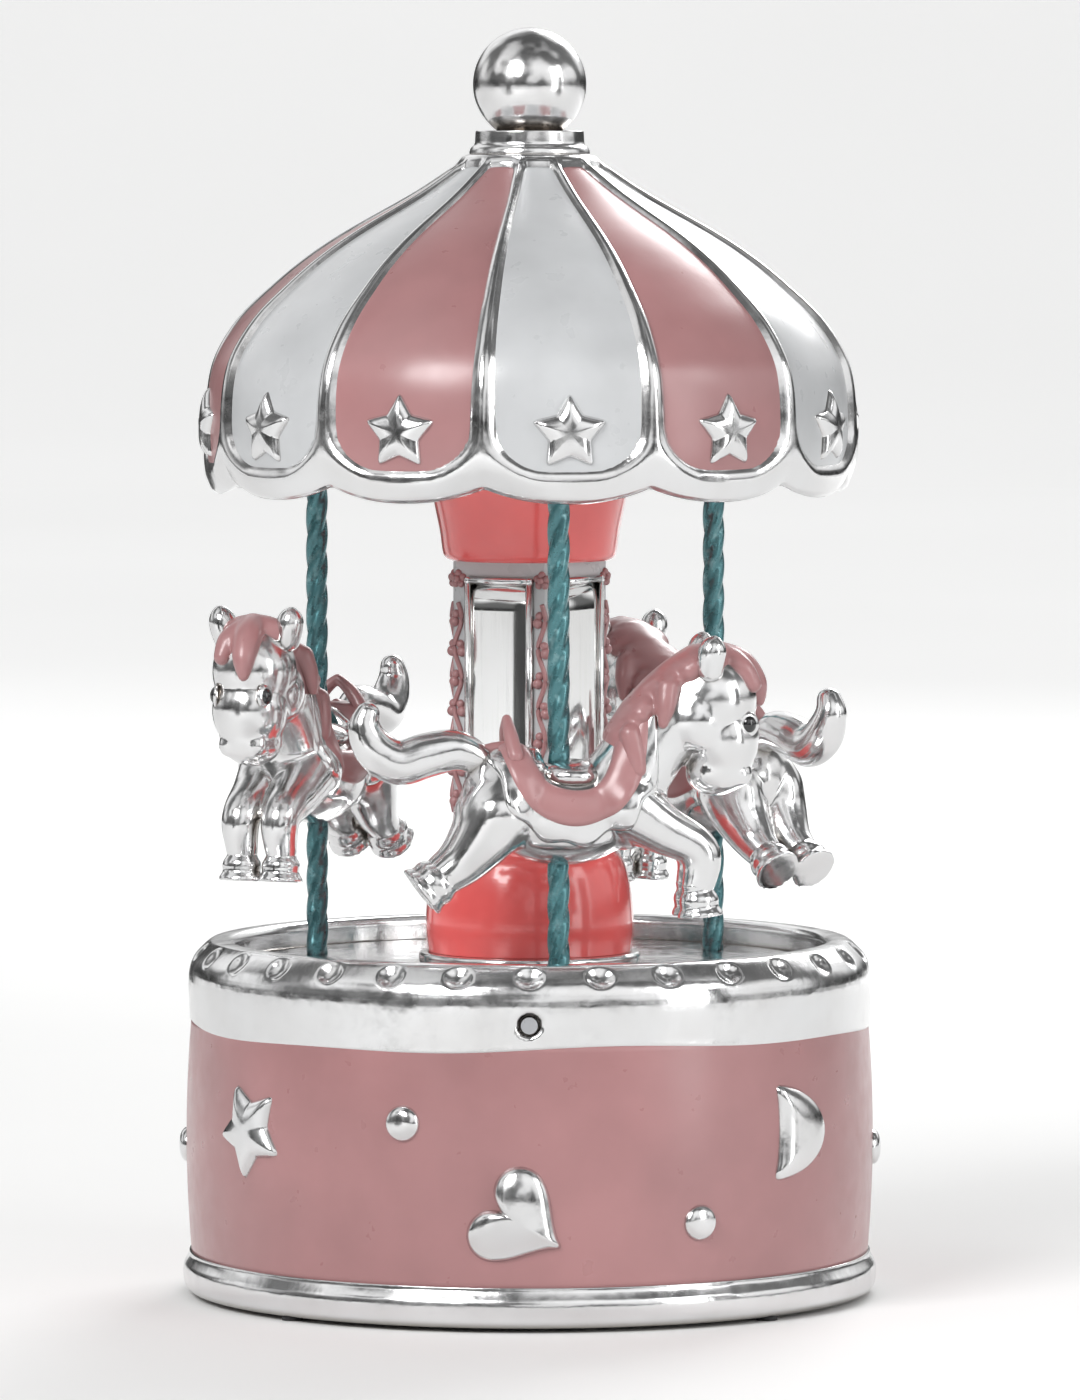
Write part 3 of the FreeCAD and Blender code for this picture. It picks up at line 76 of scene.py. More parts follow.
# The drum, in millimetres.
DRUM_RADIUS = (high("drum_enamel").x - low("drum_enamel").x) / 2 / MM
BAND_LOW = low("drum_enamel").z / MM
BAND_HIGH = high("drum_enamel").z / MM
RIM_TOP = high("base_casing").z / MM
SCREW_HEIGHT = middle("deck_screws").z / MM

# ---------------------------------------------------------------- camera, light and floor


def new_thing(name, data):
    """A new object in the scene."""
    thing = bpy.data.objects.new(name, data)
    bpy.context.scene.collection.objects.link(thing)
    return thing


def aimed(name, data, spot, aim):
    """A new camera or lamp at a spot, looking at a point."""
    thing = new_thing(name, data)
    thing.location = spot
    thing.rotation_euler = (Vector(aim) - Vector(spot)).to_track_quat("-Z", "Y").to_euler()
    return thing


def add_camera():
    """The camera looks a little down from the front, from far enough to flatten the view."""
    eye = Vector((1.4, -1270.0, 155.6)) * MM
    aim = Vector((1.4, 0.0, 80.5)) * MM
    data = bpy.data.cameras.new("camera")
    data.lens = 241.5
    data.sensor_width = 36.0
    data.clip_end = 50.0
    bpy.context.scene.camera = aimed("camera", data, eye, aim)


def add_light(name, spot, size, power, tall=None):
    """A soft rectangular lamp that looks at the middle of the object."""
    data = bpy.data.lights.new(name, "AREA")
    data.shape = "RECTANGLE"
    data.size = size
    data.size_y = tall or size
    data.energy = power
    aimed(name, data, spot, aim=(0, 0, 0.08))


def add_node(tree, kind, settings=None, **sockets):
    """A new shader node; each socket takes a plain value or the output of another node."""
    node = tree.nodes.new(f"ShaderNode{kind}")
    for setting, value in (settings or {}).items():
        setattr(node, setting, value)
    for socket, value in sockets.items():
        target = node.inputs[socket.replace("_", " ")]
        if isinstance(value, bpy.types.NodeSocket):
            tree.links.new(value, target)
        else:
            target.default_value = value
    return node


def add_room():
    """A pale room, bright above, with darker patches that give the plated parts something to show."""
    world = bpy.data.worlds.new("room")
    world.use_nodes = True
    tree = world.node_tree
    tree.nodes.clear()
    place = add_node(tree, "TexCoord").outputs["Generated"]
    split = add_node(tree, "SeparateXYZ", Vector=place)
    shift = add_node(tree, "Math", {"operation": "MULTIPLY_ADD"}, Value=split.outputs["Z"])
    for socket in shift.inputs[1:]:
        socket.default_value = 0.5
    heights = add_node(tree, "ValToRGB", Fac=shift.outputs[0])
    set_stops(heights, [(0.0, 0.35), (0.40, 0.55), (0.47, 0.12), (0.52, 0.16), (0.57, 0.80), (0.78, 1.0),
                        (1.0, 0.55)])
    patches = add_node(tree, "TexNoise", Vector=place, Scale=1.7, Detail=1.0)
    shades = add_node(tree, "ValToRGB", Fac=patches.outputs["Fac"])
    set_stops(shades, [(0.42, 0.16), (0.56, 1.0)])
    both = add_node(tree, "Mix", {"data_type": "RGBA", "blend_type": "MULTIPLY"}, Factor=1.0,
                    A=heights.outputs["Color"], B=shades.outputs["Color"])
    background = add_node(tree, "Background", Color=both.outputs["Result"], Strength=1.15)
    add_node(tree, "OutputWorld", Surface=background.outputs[0])
    bpy.context.scene.world = world
    bpy.context.scene.view_settings.view_transform = "Standard"


def set_stops(node, stops):
    """Give a ramp node its (position, grey level or colour) stops."""
    for index, (position, color) in enumerate(stops):
        stop = node.color_ramp.elements[index] if index < 2 else node.color_ramp.elements.new(position)
        stop.position = position
        stop.color = (*color, 1) if isinstance(color, tuple) else (color, color, color, 1)


def hide_from(thing, *rays):
    """Keep a piece of the stage out of the named kinds of ray."""
    for ray in rays:
        setattr(thing, f"visible_{ray}", False)


def add_dark_cards(material):
    """Dark cards beside and behind the object, seen only in reflections, for dark edges on bright metal."""
    cards = (("left_card", (-0.36, -0.37, 0.12), (0.11, 0.34)),
             ("right_card", (0.46, -0.22, 0.10), (0.10, 0.34)),
             ("rear_card", (-0.20, 0.50, 0.10), (0.16, 0.40)))
    for name, spot, (wide, tall) in cards:
        mesh = bmesh.new()
        mesh.faces.new([mesh.verts.new((side * wide / 2, 0, rise * tall / 2))
                        for side, rise in ((-1, -1), (1, -1), (1, 1), (-1, 1))])
        facing = (Vector((0, 0, spot[2])) - Vector(spot)).to_track_quat("Y", "Z").to_matrix().to_4x4()
        mesh.transform(Matrix.Translation(spot) @ facing)
        card = finished(name, mesh, material, smooth=False)
        hide_from(card, "camera", "shadow", "diffuse")


def add_floor():
    """A pale floor that turns up into a pale wall far out on every side; only the camera sees the wall."""
    reach, sweep, rise, steps = 4000.0, 1000.0, 3000.0, 16
    flat = [(radius, 0.0) for radius in (1.0, 500.0, 1500.0, reach - sweep)]
    bend = [math.pi / 2 * step / steps for step in range(steps + 1)]
    wall = [(reach - sweep + sweep * math.sin(turn), sweep - sweep * math.cos(turn)) for turn in bend]
    wall.append((reach, rise))
    paper = backdrop_paper()
    for name, profile, unseen in (("floor", flat, ()), ("backdrop", wall, ("diffuse", "glossy", "shadow"))):
        piece = turned(name, paper, 96, profile, closed=False)
        hide_from(piece, *unseen)


# ---------------------------------------------------------------- materials


class Paint:
    """A node material with a Principled shader and short ways to add detail."""

    def __init__(self, name, color, roughness, metallic=0.0, **extra):
        self.material = bpy.data.materials.new(name)
        self.material.use_nodes = True
        self.tree = self.material.node_tree
        self.shader = self.tree.nodes["Principled BSDF"]
        plain = {"Base_Color": (*color, 1), "Roughness": roughness, "Metallic": metallic, **extra}
        for socket, value in plain.items():
            self.shader.inputs[socket.replace("_", " ")].default_value = value
        self.place = add_node(self.tree, "TexCoord").outputs["Object"]
        self.normal = None

    def noise(self, scale, detail=4.0, rough=0.5, stretch=None):
        """A noise value in object space, its scale per metre."""
        place = self.place
        if stretch:
            place = add_node(self.tree, "Mapping", Vector=place, Scale=stretch).outputs["Vector"]
        node = add_node(self.tree, "TexNoise", Vector=place, Scale=scale, Detail=detail, Roughness=rough)
        return node.outputs["Fac"]

    def ramp(self, value, stops):
        """A ramp of colours or grey levels over a value."""
        node = add_node(self.tree, "ValToRGB", Fac=value)
        set_stops(node, stops)
        return node.outputs["Color"]

    def mixed(self, value, first, second):
        """Two colours, each plain or linked, mixed by a value."""
        first, second = ((*color, 1) if isinstance(color, tuple) else color for color in (first, second))
        node = add_node(self.tree, "Mix", {"data_type": "RGBA"}, Factor=value, A=first, B=second)
        return node.outputs["Result"]

    def painted_shade_mask(self, reach):
        """An ambient-occlusion mask for painted shade: dark in corners and between raised pieces, light on
        open faces.
        """
        return add_node(self.tree, "AmbientOcclusion", {"samples": 6}, Distance=reach).outputs["AO"]

    def color(self, socket):
        """Let a colour of the nodes drive the shader's colour."""
        self.tree.links.new(socket, self.shader.inputs["Base Color"])

    def roughness(self, socket):
        """Let a grey level of the nodes drive the shader's roughness."""
        self.tree.links.new(socket, self.shader.inputs["Roughness"])

    def bump(self, value, strength, distance):
        """Add a fine relief on top of any earlier one."""
        node = add_node(self.tree, "Bump", Height=value, Strength=strength, Distance=distance)
        if self.normal:
            self.tree.links.new(self.normal, node.inputs["Normal"])
        self.normal = node.outputs["Normal"]
        self.tree.links.new(self.normal, self.shader.inputs["Normal"])


def shade(color, factor):
    """A colour made darker or lighter by a factor."""
    return tuple(min(1.0, channel * factor) for channel in color)


def silver():
    """Silver plate over a zinc casting: soft waves of the cast skin, faint haze, painted shade in the
    corners.
    """
    tone, rough = 0.80, 0.13
    paint = Paint("silver_plate_finish", (tone, tone, tone), rough, metallic=1.0)
    # Painted shade: the darker, slightly warm grey goes where the ambient occlusion finds corners and gaps
    # between raised pieces.
    clean, painted_corner_shade = (tone, tone * 1.004, tone * 1.012), (tone * 0.50, tone * 0.47, tone * 0.44)
    out_of_painted_shade = paint.ramp(paint.painted_shade_mask(0.0022), [(0.30, 0.0), (0.85, 1.0)])
    cloud = paint.mixed(paint.ramp(paint.noise(95, 5), [(0.38, 0.0), (0.72, 1.0)]), clean,
                        (tone * 0.93, tone * 0.925, tone * 0.925))
    paint.color(paint.mixed(out_of_painted_shade, painted_corner_shade, cloud))
    paint.roughness(paint.ramp(paint.noise(420, 6, 0.62), [(0.30, rough * 0.7), (0.75, rough * 2.1)]))
    paint.bump(paint.noise(170, 3, 0.45), 0.26, 0.0006)
    paint.bump(paint.noise(1900, 3, 0.5), 0.06, 0.0001)
    return paint.material


def enamel(name, color, rough, coat=0.5):
    """Epoxy enamel: a softly shining coat with faint clouds and a slightly wavy skin."""
    paint = Paint(name, color, rough, Coat_Weight=coat, Coat_Roughness=rough * 0.75, Specular_IOR_Level=0.5)
    cloud = paint.ramp(paint.noise(60, 4), [(0.30, 0.0), (0.70, 1.0)])
    paint.color(paint.mixed(cloud, shade(color, 0.86), shade(color, 1.07)))
    paint.roughness(paint.ramp(paint.noise(300, 4), [(0.25, rough * 0.8), (0.80, rough * 1.35)]))
    paint.bump(paint.noise(210, 2, 0.4), 0.10, 0.0005)
    return paint.material


def mirror():
    """Polished plate with hairlines along Z."""
    paint = Paint("mirror_finish", (0.86, 0.86, 0.86), 0.06, metallic=1.0)
    streak = paint.noise(900, 5, 0.6, stretch=(1.0, 1.0, 0.03))
    paint.roughness(paint.ramp(streak, [(0.30, 0.03), (0.75, 0.16)]))
    paint.color(paint.ramp(paint.noise(80, 4), [(0.30, (0.80, 0.80, 0.79)), (0.75, (0.90, 0.905, 0.91))]))
    paint.bump(streak, 0.04, 0.0001)
    return paint.material


def lacquer():
    """Metallic teal lacquer with painted shade in the grooves of the twist, rubbed pale on its ridges."""
    paint = Paint("teal_lacquer_finish", (0.10, 0.28, 0.30), 0.26, metallic=0.65, Coat_Weight=0.4)
    # Painted shade: the ambient occlusion darkens the grooves of the twist to a near-black teal, and wear
    # shows only on the unshaded ridges.
    ridge = paint.ramp(paint.painted_shade_mask(0.0009), [(0.42, 0.0), (0.80, 1.0)])
    base = paint.mixed(ridge, (0.006, 0.045, 0.055), (0.07, 0.20, 0.22))
    worn = paint.ramp(paint.noise(700, 5, 0.6), [(0.55, 0.0), (0.72, 1.0)])
    rubbed = paint.mixed(worn, base, (0.20, 0.36, 0.38))
    paint.color(paint.mixed(ridge, base, rubbed))
    paint.roughness(paint.ramp(paint.noise(900, 4), [(0.30, 0.20), (0.75, 0.42)]))
    paint.bump(paint.noise(1500, 3), 0.08, 0.0002)
    return paint.material


def machined(name, color, rough, stretch):
    """Turned, drawn or rolled metal with fine tool marks along one direction."""
    paint = Paint(name, color, rough, metallic=1.0)
    marks = paint.noise(1400, 4, 0.6, stretch=stretch)
    paint.color(paint.ramp(paint.noise(140, 4), [(0.30, shade(color, 0.86)), (0.75, color)]))
    paint.roughness(paint.ramp(marks, [(0.30, rough * 0.7), (0.75, rough * 1.5)]))
    paint.bump(marks, 0.18, 0.0002)
    return paint.material


def dull(name, color, rough, grain):
    """Rubber, nylon, felt or a sand-cast skin: a plain body with a grainy surface."""
    paint = Paint(name, color, rough)
    paint.color(paint.ramp(paint.noise(250, 4), [(0.30, shade(color, 0.8)), (0.75, color)]))
    paint.roughness(paint.ramp(paint.noise(900, 3), [(0.3, rough * 0.85), (0.8, min(1.0, rough * 1.15))]))
    paint.bump(paint.noise(grain, 4, 0.6), 0.25, 0.0003)
    return paint.material


def backdrop_paper():
    """Seamless off-white paper that glows, though it is no lamp, more the farther it lies from the middle and
    the lamps.
    """
    paint = Paint("backdrop_paper", (0.86, 0.86, 0.855), 0.75, Emission_Color=(1.0, 1.0, 1.0, 1.0))
    paint.color(paint.ramp(paint.noise(3, 3), [(0.3, (0.84, 0.84, 0.835)), (0.7, (0.88, 0.88, 0.875))]))
    near, far, painted_glow = 0.3, 1.5, 0.42
    # Painted light: the emission strength rises from nothing near the object to its full glow far out.
    away = add_node(paint.tree, "VectorMath", {"operation": "LENGTH"}, Vector=paint.place)
    spread = add_node(paint.tree, "MapRange", {"interpolation_type": "SMOOTHSTEP"},
                      Value=away.outputs["Value"], From_Min=near, From_Max=far, To_Min=0.0, To_Max=painted_glow)
    paint.tree.links.new(spread.outputs["Result"], paint.shader.inputs["Emission Strength"])
    return paint.material


PINK = (0.375, 0.182, 0.184)
FINISH = {
    "silver_plate": silver(),
    "pink_enamel": enamel("pink_enamel_finish", PINK, 0.32),
    "satin_enamel": enamel("satin_enamel_finish", (0.52, 0.53, 0.54), 0.30),
    "column_enamel": enamel("column_enamel_finish", (0.84, 0.125, 0.12), 0.16, coat=0.7),
    "polished_mirror": mirror(),
    "teal_lacquer": lacquer(),
    "rubber": dull("rubber_finish", (0.03, 0.03, 0.032), 0.8, 2600),
    "steel": machined("steel_finish", (0.56, 0.57, 0.59), 0.28, (1.0, 1.0, 0.05)),
    "zinc_plate": machined("zinc_plate_finish", (0.60, 0.61, 0.63), 0.34, (0.05, 1.0, 1.0)),
    "brass": machined("brass_finish", (0.72, 0.52, 0.20), 0.24, (0.05, 1.0, 1.0)),
    "cast_zinc": dull("cast_zinc_finish", (0.36, 0.37, 0.38), 0.55, 1800),
    "nylon": dull("nylon_finish", (0.80, 0.79, 0.74), 0.5, 1500),
}
EYE_FINISH = enamel("eye_enamel_finish", (0.006, 0.006, 0.007), 0.12, coat=1.0)


def dress_cad_nodes():
    """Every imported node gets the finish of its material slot."""
    slots = {item["node"]: item["material_slot"] for item in frame["record"]["subparts"]}
    for name, node in frame["nodes"].items():
        node.data.materials.clear()
        node.data.materials.append(FINISH[slots[name]])


# ---------------------------------------------------------------- mesh helpers


def finished(name, mesh, material, smooth=True):
    """Turn a bmesh into an object with one finish."""
    bmesh.ops.recalc_face_normals(mesh, faces=mesh.faces)
    data = bpy.data.meshes.new(name)
    mesh.to_mesh(data)
    mesh.free()
    data.materials.append(material)
    if smooth:
        data.polygons.foreach_set("use_smooth", [True] * len(data.polygons))
    return new_thing(name, data)


def hand_in(thing, body, slot, *nodes):
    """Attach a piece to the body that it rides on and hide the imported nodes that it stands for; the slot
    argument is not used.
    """
    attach(thing, body)
    if nodes:
        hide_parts(*nodes)


def cast(name, mesh, body, slot, *nodes):
    """Finish a mesh in the material of its slot, attach it to its body and hide the imported nodes that it
    stands for.
    """
    hand_in(finished(name, mesh, FINISH[slot]), body, slot, *nodes)


def join_loops(mesh, loops, closed=False):
    """Faces between neighbouring closed loops of points, and from the last loop to the first if closed."""
    pairs = zip(loops, loops[1:] + loops[:1]) if closed else zip(loops, loops[1:])
    for first, second in pairs:
        for corners in zip(first, first[1:] + first[:1], second[1:] + second[:1], second):
            mesh.faces.new(corners)


def lathe(name, material, columns, rows, place, closed=True):
    """A surface round Z through place(row, angle); a closed one joins its last row to its first."""
    mesh = bmesh.new()
    angles = [TURN * column / columns for column in range(columns)]
    join_loops(mesh, [[mesh.verts.new(place(row, angle)) for angle in angles] for row in range(rows)], closed)
    return finished(name, mesh, material)


def turned(name, material, columns, profile, closed=True):
    """A turned surface from (radius, height) points in millimetres."""
    return lathe(name, material, columns, len(profile),
                 lambda row, angle: around_z(profile[row][0] * MM, angle, profile[row][1] * MM), closed)


def around_z(radius, angle, z):
    """A point at an angle from the front, growing towards +X."""
    return Vector((radius * math.sin(angle), -radius * math.cos(angle), z))


def smooth_step(value):
    """0 below 0, 1 above 1, an even slope between."""
    value = min(1.0, max(0.0, value))
    return value * value * (3 - 2 * value)


def nearest(angle, count):
    """The angle of a point from the nearest of a number of evenly spaced places, the first at 0."""
    return (angle + math.pi / count) % (TURN / count) - math.pi / count


def spline(points, steps):
    """Points along a smooth line through the given ones, with a number of steps on each stretch."""
    line = []
    for index in range(len(points) - 1):
        before, first = points[max(index - 1, 0)], points[index]
        second, after = points[index + 1], points[min(index + 2, len(points) - 1)]
        for step in range(steps):
            t = step / steps
            line.append(tuple(0.5 * (2 * b + (c - a) * t + (2 * a - 5 * b + 4 * c - d) * t * t
                                     + (3 * b - a - 3 * c + d) * t ** 3)
                              for a, b, c, d in zip(before, first, second, after)))
    line.append(tuple(points[-1]))
    return line


def rounded_profile(corners):
    """A closed outline with each (radius, height) corner rounded; a third value sets how far from it."""
    steps, slight, most = 6, 0.1, 0.45
    outline = []
    for index, corner in enumerate(corners):
        here = Vector(corner[:2])
        reach = corner[2] if len(corner) > 2 else slight
        before, after = Vector(corners[index - 1][:2]), Vector(corners[(index + 1) % len(corners)][:2])
        start = here + (before - here).normalized() * min(reach, (before - here).length * most)
        end = here + (after - here).normalized() * min(reach, (after - here).length * most)
        for step in range(steps + 1):
            t = step / steps
            outline.append(start * (1 - t) ** 2 + here * 2 * t * (1 - t) + end * t * t)
    return outline


# ---------------------------------------------------------------- canopy

ROOF_LINE = [(7.3, 154.7), (15.3, 149.4), (24.9, 144.0), (30.5, 140.3), (35.2, 136.4), (39.3, 132.4),
             (42.3, 127.9), (43.6, 123.8), (44.0, 117.7), (43.7, 112.6), (42.2, 108.6)]
ROOF_STEPS = 11
HALF_PANEL = math.pi / PANELS
WALL = 2.2
FIELD_DEPTH = 0.95
ENAMEL_DEPTH = 0.5
FIELD_BORDER = 4.2
CROWN_BORDER = 3.0
CORNER_ROUND = 6.5


def roof_samples():
    """Points down the roof line, each with the distance from its lower end and its outward direction."""
    line = spline(ROOF_LINE, ROOF_STEPS)
    lengths = [0.0]
    for first, second in zip(line, line[1:]):
        lengths.append(lengths[-1] + math.dist(first, second))
    samples = []
    for index, (radius, z) in enumerate(line):
        before, after = line[max(index - 1, 0)], line[min(index + 1, len(line) - 1)]
        along = Vector((after[0] - before[0], after[1] - before[1])).normalized()
        samples.append((radius, z, lengths[-1] - lengths[index], Vector((-along.y, along.x))))
    return samples


ROOF = roof_samples()
ROOF_LENGTH = ROOF[0][2]


def rib_half_width(up):
    """Half the width of a rib: slim at the crown, broad at the lower edge."""
    broad, slim, pace = 1.75, 0.5, 1.15
    return broad - (broad - slim) * smooth_step(up / ROOF_LENGTH * pace)


def field_inset(radius, up, across):
    """How far a point lies inside the edge of its panel's enamel field, negative on ribs and border."""
    side = radius * math.tan(HALF_PANEL) - rib_half_width(up) - abs(across)
    bottom = up - FIELD_BORDER
    if side < CORNER_ROUND and bottom < CORNER_ROUND:
        inset = CORNER_ROUND - math.hypot(CORNER_ROUND - side, CORNER_ROUND - bottom)
    else:
        inset = min(side, bottom)
    return min(inset, ROOF_LENGTH - CROWN_BORDER - up)


def scallop(offset):
    """The rise of the lower edge at an angle from the middle of a panel."""
    rise, roundness = 2.0, 2.2
    return rise * (abs(offset) / HALF_PANEL) ** roundness


def canopy_shell():
    """The cast canopy: rounded ribs, puffed border, sunken fields and a scalloped edge."""
    panel_columns, crown_hole, swell, rib_round, bevel = 36, 9.0, 0.55, 1.5, 0.8
    edge_ease, edge_start, crown_ease, scallop_reach = 1.2, 0.15, 2.5, 9.0
    outer = len(ROOF)
    samples = ROOF + [sample for sample in reversed(ROOF) if sample[0] > crown_hole]

    def place(row, angle):
        offset = nearest(angle - CAROUSEL_ANGLE, PANELS)
        radius, z, up, out = samples[row]
        push = -WALL
        if row < outer:
            inset = field_inset(radius, up, radius * math.sin(offset))
            puff = swell * math.sin(math.pi / 2 * min(1.0, max(0.0, -inset) / rib_round))
            ease = smooth_step(up / edge_ease + edge_start) * smooth_step((ROOF_LENGTH - up) / crown_ease)
            push = (puff - FIELD_DEPTH * smooth_step(inset / bevel)) * ease
        lift = scallop(offset) * smooth_step(1 - up / scallop_reach)
        return around_z((radius + out.x * push) * MM, angle, (z + out.y * push + lift) * MM)

    shell = lathe("canopy_casting", FINISH["silver_plate"], PANELS * panel_columns, len(samples), place)
    hand_in(shell, "carousel", "silver_plate", "canopy_shell")


def field_row(mesh, sample, centre, depth, dome):
    """Points across a panel at a depth below the roof line, domed towards the panel's middle."""
    steps, tuck = 30, 0.55
    radius, z, up, out = sample
    half = (radius * math.tan(HALF_PANEL) - rib_half_width(up) * tuck) / radius
    line = []
    for step in range(steps + 1):
        share = step / steps * 2 - 1
        push = dome * (1 - share * share) - depth
        line.append(mesh.verts.new(around_z((radius + out.x * push) * MM, centre + half * share,
                                            (z + out.y * push) * MM)))
    return line


def canopy_fields():
    """The enamel in the fields, satin and pink in turn; its edges run under the ribs."""
    dome, back_depth, low_overlap, high_overlap = 0.16, FIELD_DEPTH + 0.5, 0.6, 0.8
    low_end, high_end = FIELD_BORDER - low_overlap, ROOF_LENGTH - CROWN_BORDER + high_overlap
    rows = [sample for sample in ROOF if low_end < sample[2] < high_end]
    for first, slot in enumerate(("satin_enamel", "pink_enamel")):
        mesh = bmesh.new()
        for panel in range(first, PANELS, 2):
            centre = CAROUSEL_ANGLE + panel * 2 * HALF_PANEL
            face = [field_row(mesh, sample, centre, ENAMEL_DEPTH, dome) for sample in rows]
            back = [field_row(mesh, sample, centre, back_depth, 0.0) for sample in rows]
            close_slab(mesh, face, back)
        cast(f"canopy_{slot}_fields", mesh, "carousel", slot, f"canopy_{slot}")


def close_slab(mesh, upper, lower):
    """Faces of a slab between two grids of points of the same size."""
    join_loops(mesh, [above + below[::-1] for above, below in zip(upper, lower)])
    for above, below in ((upper[0], lower[0]), (upper[-1], lower[-1])):
        for corners in zip(above, above[1:], below[1:], below):
            mesh.faces.new(corners)


# ---------------------------------------------------------------- puffed ornaments


SPOKES = 120


def spoke_reaches(outline):
    """How far an outline round the origin reaches along each spoke, its corners a little worn."""
    parallel, slack, passes = 1e-9, 1e-6, 2
    reaches = []
    for spoke in range(SPOKES):
        angle = TURN * spoke / SPOKES
        ray = Vector((math.sin(angle), math.cos(angle)))
        reach = 0.0
        for first, second in zip(outline, outline[1:] + outline[:1]):
            side = Vector(second) - Vector(first)
            spread = ray.x * side.y - ray.y * side.x
            if abs(spread) < parallel:
                continue
            along = (first[0] * side.y - first[1] * side.x) / spread
            share = (first[0] * ray.y - first[1] * ray.x) / spread
            if along > reach and -slack <= share <= 1 + slack:
                reach = along
        reaches.append(reach)
    for _ in range(passes):
        reaches = [(reaches[spoke - 1] + 2 * reaches[spoke] + reaches[(spoke + 1) % SPOKES]) / 4
                   for spoke in range(SPOKES)]
    return reaches


def star():
    """A plump five-pointed star of reach 1, one point up."""
    points, hollow = 5, 0.57
    outline = []
    for corner in range(2 * points):
        turn, reach = TURN * corner / (2 * points), hollow if corner % 2 else 1.0
        outline.append((reach * math.sin(turn), reach * math.cos(turn)))
    return spoke_reaches(outline)


def heart():
    """A heart with its notch up and its point down, from the usual curve of sines."""
    steps, size = 72, 17
    points = []
    for step in range(steps):
        turn = TURN * step / steps
        across = 16 * math.sin(turn) ** 3
        up = 13 * math.cos(turn) - 5 * math.cos(2 * turn) - 2 * math.cos(3 * turn) - math.cos(4 * turn)
        points.append((across / size, up / size))
    return spoke_reaches(points)


def moon():
    """A fat crescent with its slightly hollow side to the left."""
    steps, wide, hollow = 40, 1.62, 0.16
    turns = [math.pi * step / steps for step in range(steps + 1)]
    back = [(wide * math.sin(turn), math.cos(turn)) for turn in turns]
    front = [(hollow * math.sin(turn), -math.cos(turn)) for turn in turns[1:-1]]
    middle_x = (wide + hollow) / 2
    return spoke_reaches([(x - middle_x, y) for x, y in back + front])


def disc():
    """A round dot."""
    return [1.0] * SPOKES


def puffed(mesh, reaches, size, thickness, wrap, tilt=0.0):
    """A cushion-shaped ornament: wrap(across, up, out) lays it on its ground."""
    rings, sink, crowding, fullness, shoulder = 14, 0.35, 0.8, 2.8, 0.6
    top = mesh.verts.new(wrap(0, 0, thickness))
    bottom = mesh.verts.new(wrap(0, 0, -sink))
    loops = []
    for ring in range(1, rings + 2):
        share = min(1.0, ring / rings) ** crowding
        out = thickness * (1 - share ** fullness) ** shoulder if ring <= rings else -sink
        loop = []
        for spoke in range(SPOKES):
            angle = TURN * spoke / SPOKES + tilt
            reach = reaches[spoke] * size * share
            loop.append(mesh.verts.new(wrap(reach * math.sin(angle), reach * math.cos(angle), out)))
        loops.append(loop)
    for spoke in range(SPOKES):
        after = (spoke + 1) % SPOKES
        mesh.faces.new((top, loops[0][spoke], loops[0][after]))
        mesh.faces.new((bottom, loops[-1][after], loops[-1][spoke]))
    join_loops(mesh, loops)


def canopy_stars():
    """One puffed star on each panel."""
    mesh = bmesh.new()
    height, size, thickness, ground = 117.9, 5.4, 1.25, ENAMEL_DEPTH - 0.12
    outline = star()
    for panel in range(PANELS):
        centre = CAROUSEL_ANGLE + panel * 2 * HALF_PANEL

        def wrap(across, up, out):
            z = height + up
            radius = roof_radius(z) - ground + out
            return around_z(radius * MM, centre + across / roof_radius(height), z * MM)

        puffed(mesh, outline, size, thickness, wrap)
    cast("canopy_raised_stars", mesh, "carousel", "silver_plate", "canopy_stars")


def roof_radius(z):
    """The radius of the roof line at a height on its lower part."""
    for (r1, z1, _, _), (r2, z2, _, _) in zip(ROOF, ROOF[1:]):
        if z2 <= z <= z1:
            return r1 + (r2 - r1) * (z1 - z) / (z1 - z2)
    return ROOF[-1][0]


# ---------------------------------------------------------------- drum

RIM_BEADS = 30
END_RADIUS = 46.0
BULGE = DRUM_RADIUS - END_RADIUS


def wall_radius(z):
    """The bulged wall of the drum at a height in millimetres."""
    share = (z - BAND_LOW) / (BAND_HIGH - BAND_LOW)
    return END_RADIUS + BULGE * (1 - (2 * min(1.0, max(0.0, share)) - 1) ** 2)


def paint_rise(angle):
    """How far the uneven line between plate and enamel lies above the top of the band."""
    return 0.45 * math.sin(3 * angle + 0.6) + 0.25 * math.sin(7 * angle) - 0.1


def drum_outline():
    """The casting outside the band: from the band over the rim, down inside and out under the foot."""
    top, ledge = RIM_TOP, low("deck_plate").z / MM
    inner, lip, cavity = 40.0, 38.5, 43.0
    rim = [(END_RADIUS + 0.1, BAND_HIGH + 0.2, 0.5), (46.4, 45.0, 3.0), (43.6, top - 0.2, 2.2),
           (42.4, top, 0.6)]
    inside = [(inner + 0.6, top, 0.6), (inner, top - 0.8, 0.5), (inner, ledge, 0.1), (lip, ledge, 0.2),
              (lip, ledge - 1.2, 0.2), (cavity, ledge - 1.2, 0.5), (cavity, 0.9, 0.3)]
    foot = [(cavity + 0.4, 0.6, 0.3), (46.2, 0.6, 0.6), (47.0, 1.6, 0.9), (47.1, 4.0, 0.9), (46.5, 5.0, 0.7),
            (46.2, 5.6, 0.4)]
    return rim + inside + foot


def bead_sink(radius, z, angle):
    """The depth of the nearest oval dimple at a point of the bevel."""
    bevel_middle, half_wide, half_tall, depth, sharpness = (44.7, 46.6), 2.0, 1.8, 0.8, 0.9
    across = nearest(angle, RIM_BEADS) * radius / half_wide
    up = math.dist((radius, z), bevel_middle) / half_tall
    return depth * max(0.0, 1 - across * across - up * up) ** sharpness


def screw_sink(radius, z, angle):
    """The depth of the nearest screw seat at a point of the rim."""
    seats, seat_radius, edge, depth = 3, 1.75, 0.45, 1.5
    away = math.hypot(nearest(angle, seats) * radius, z - SCREW_HEIGHT)
    return depth * smooth_step((seat_radius - away) / edge)


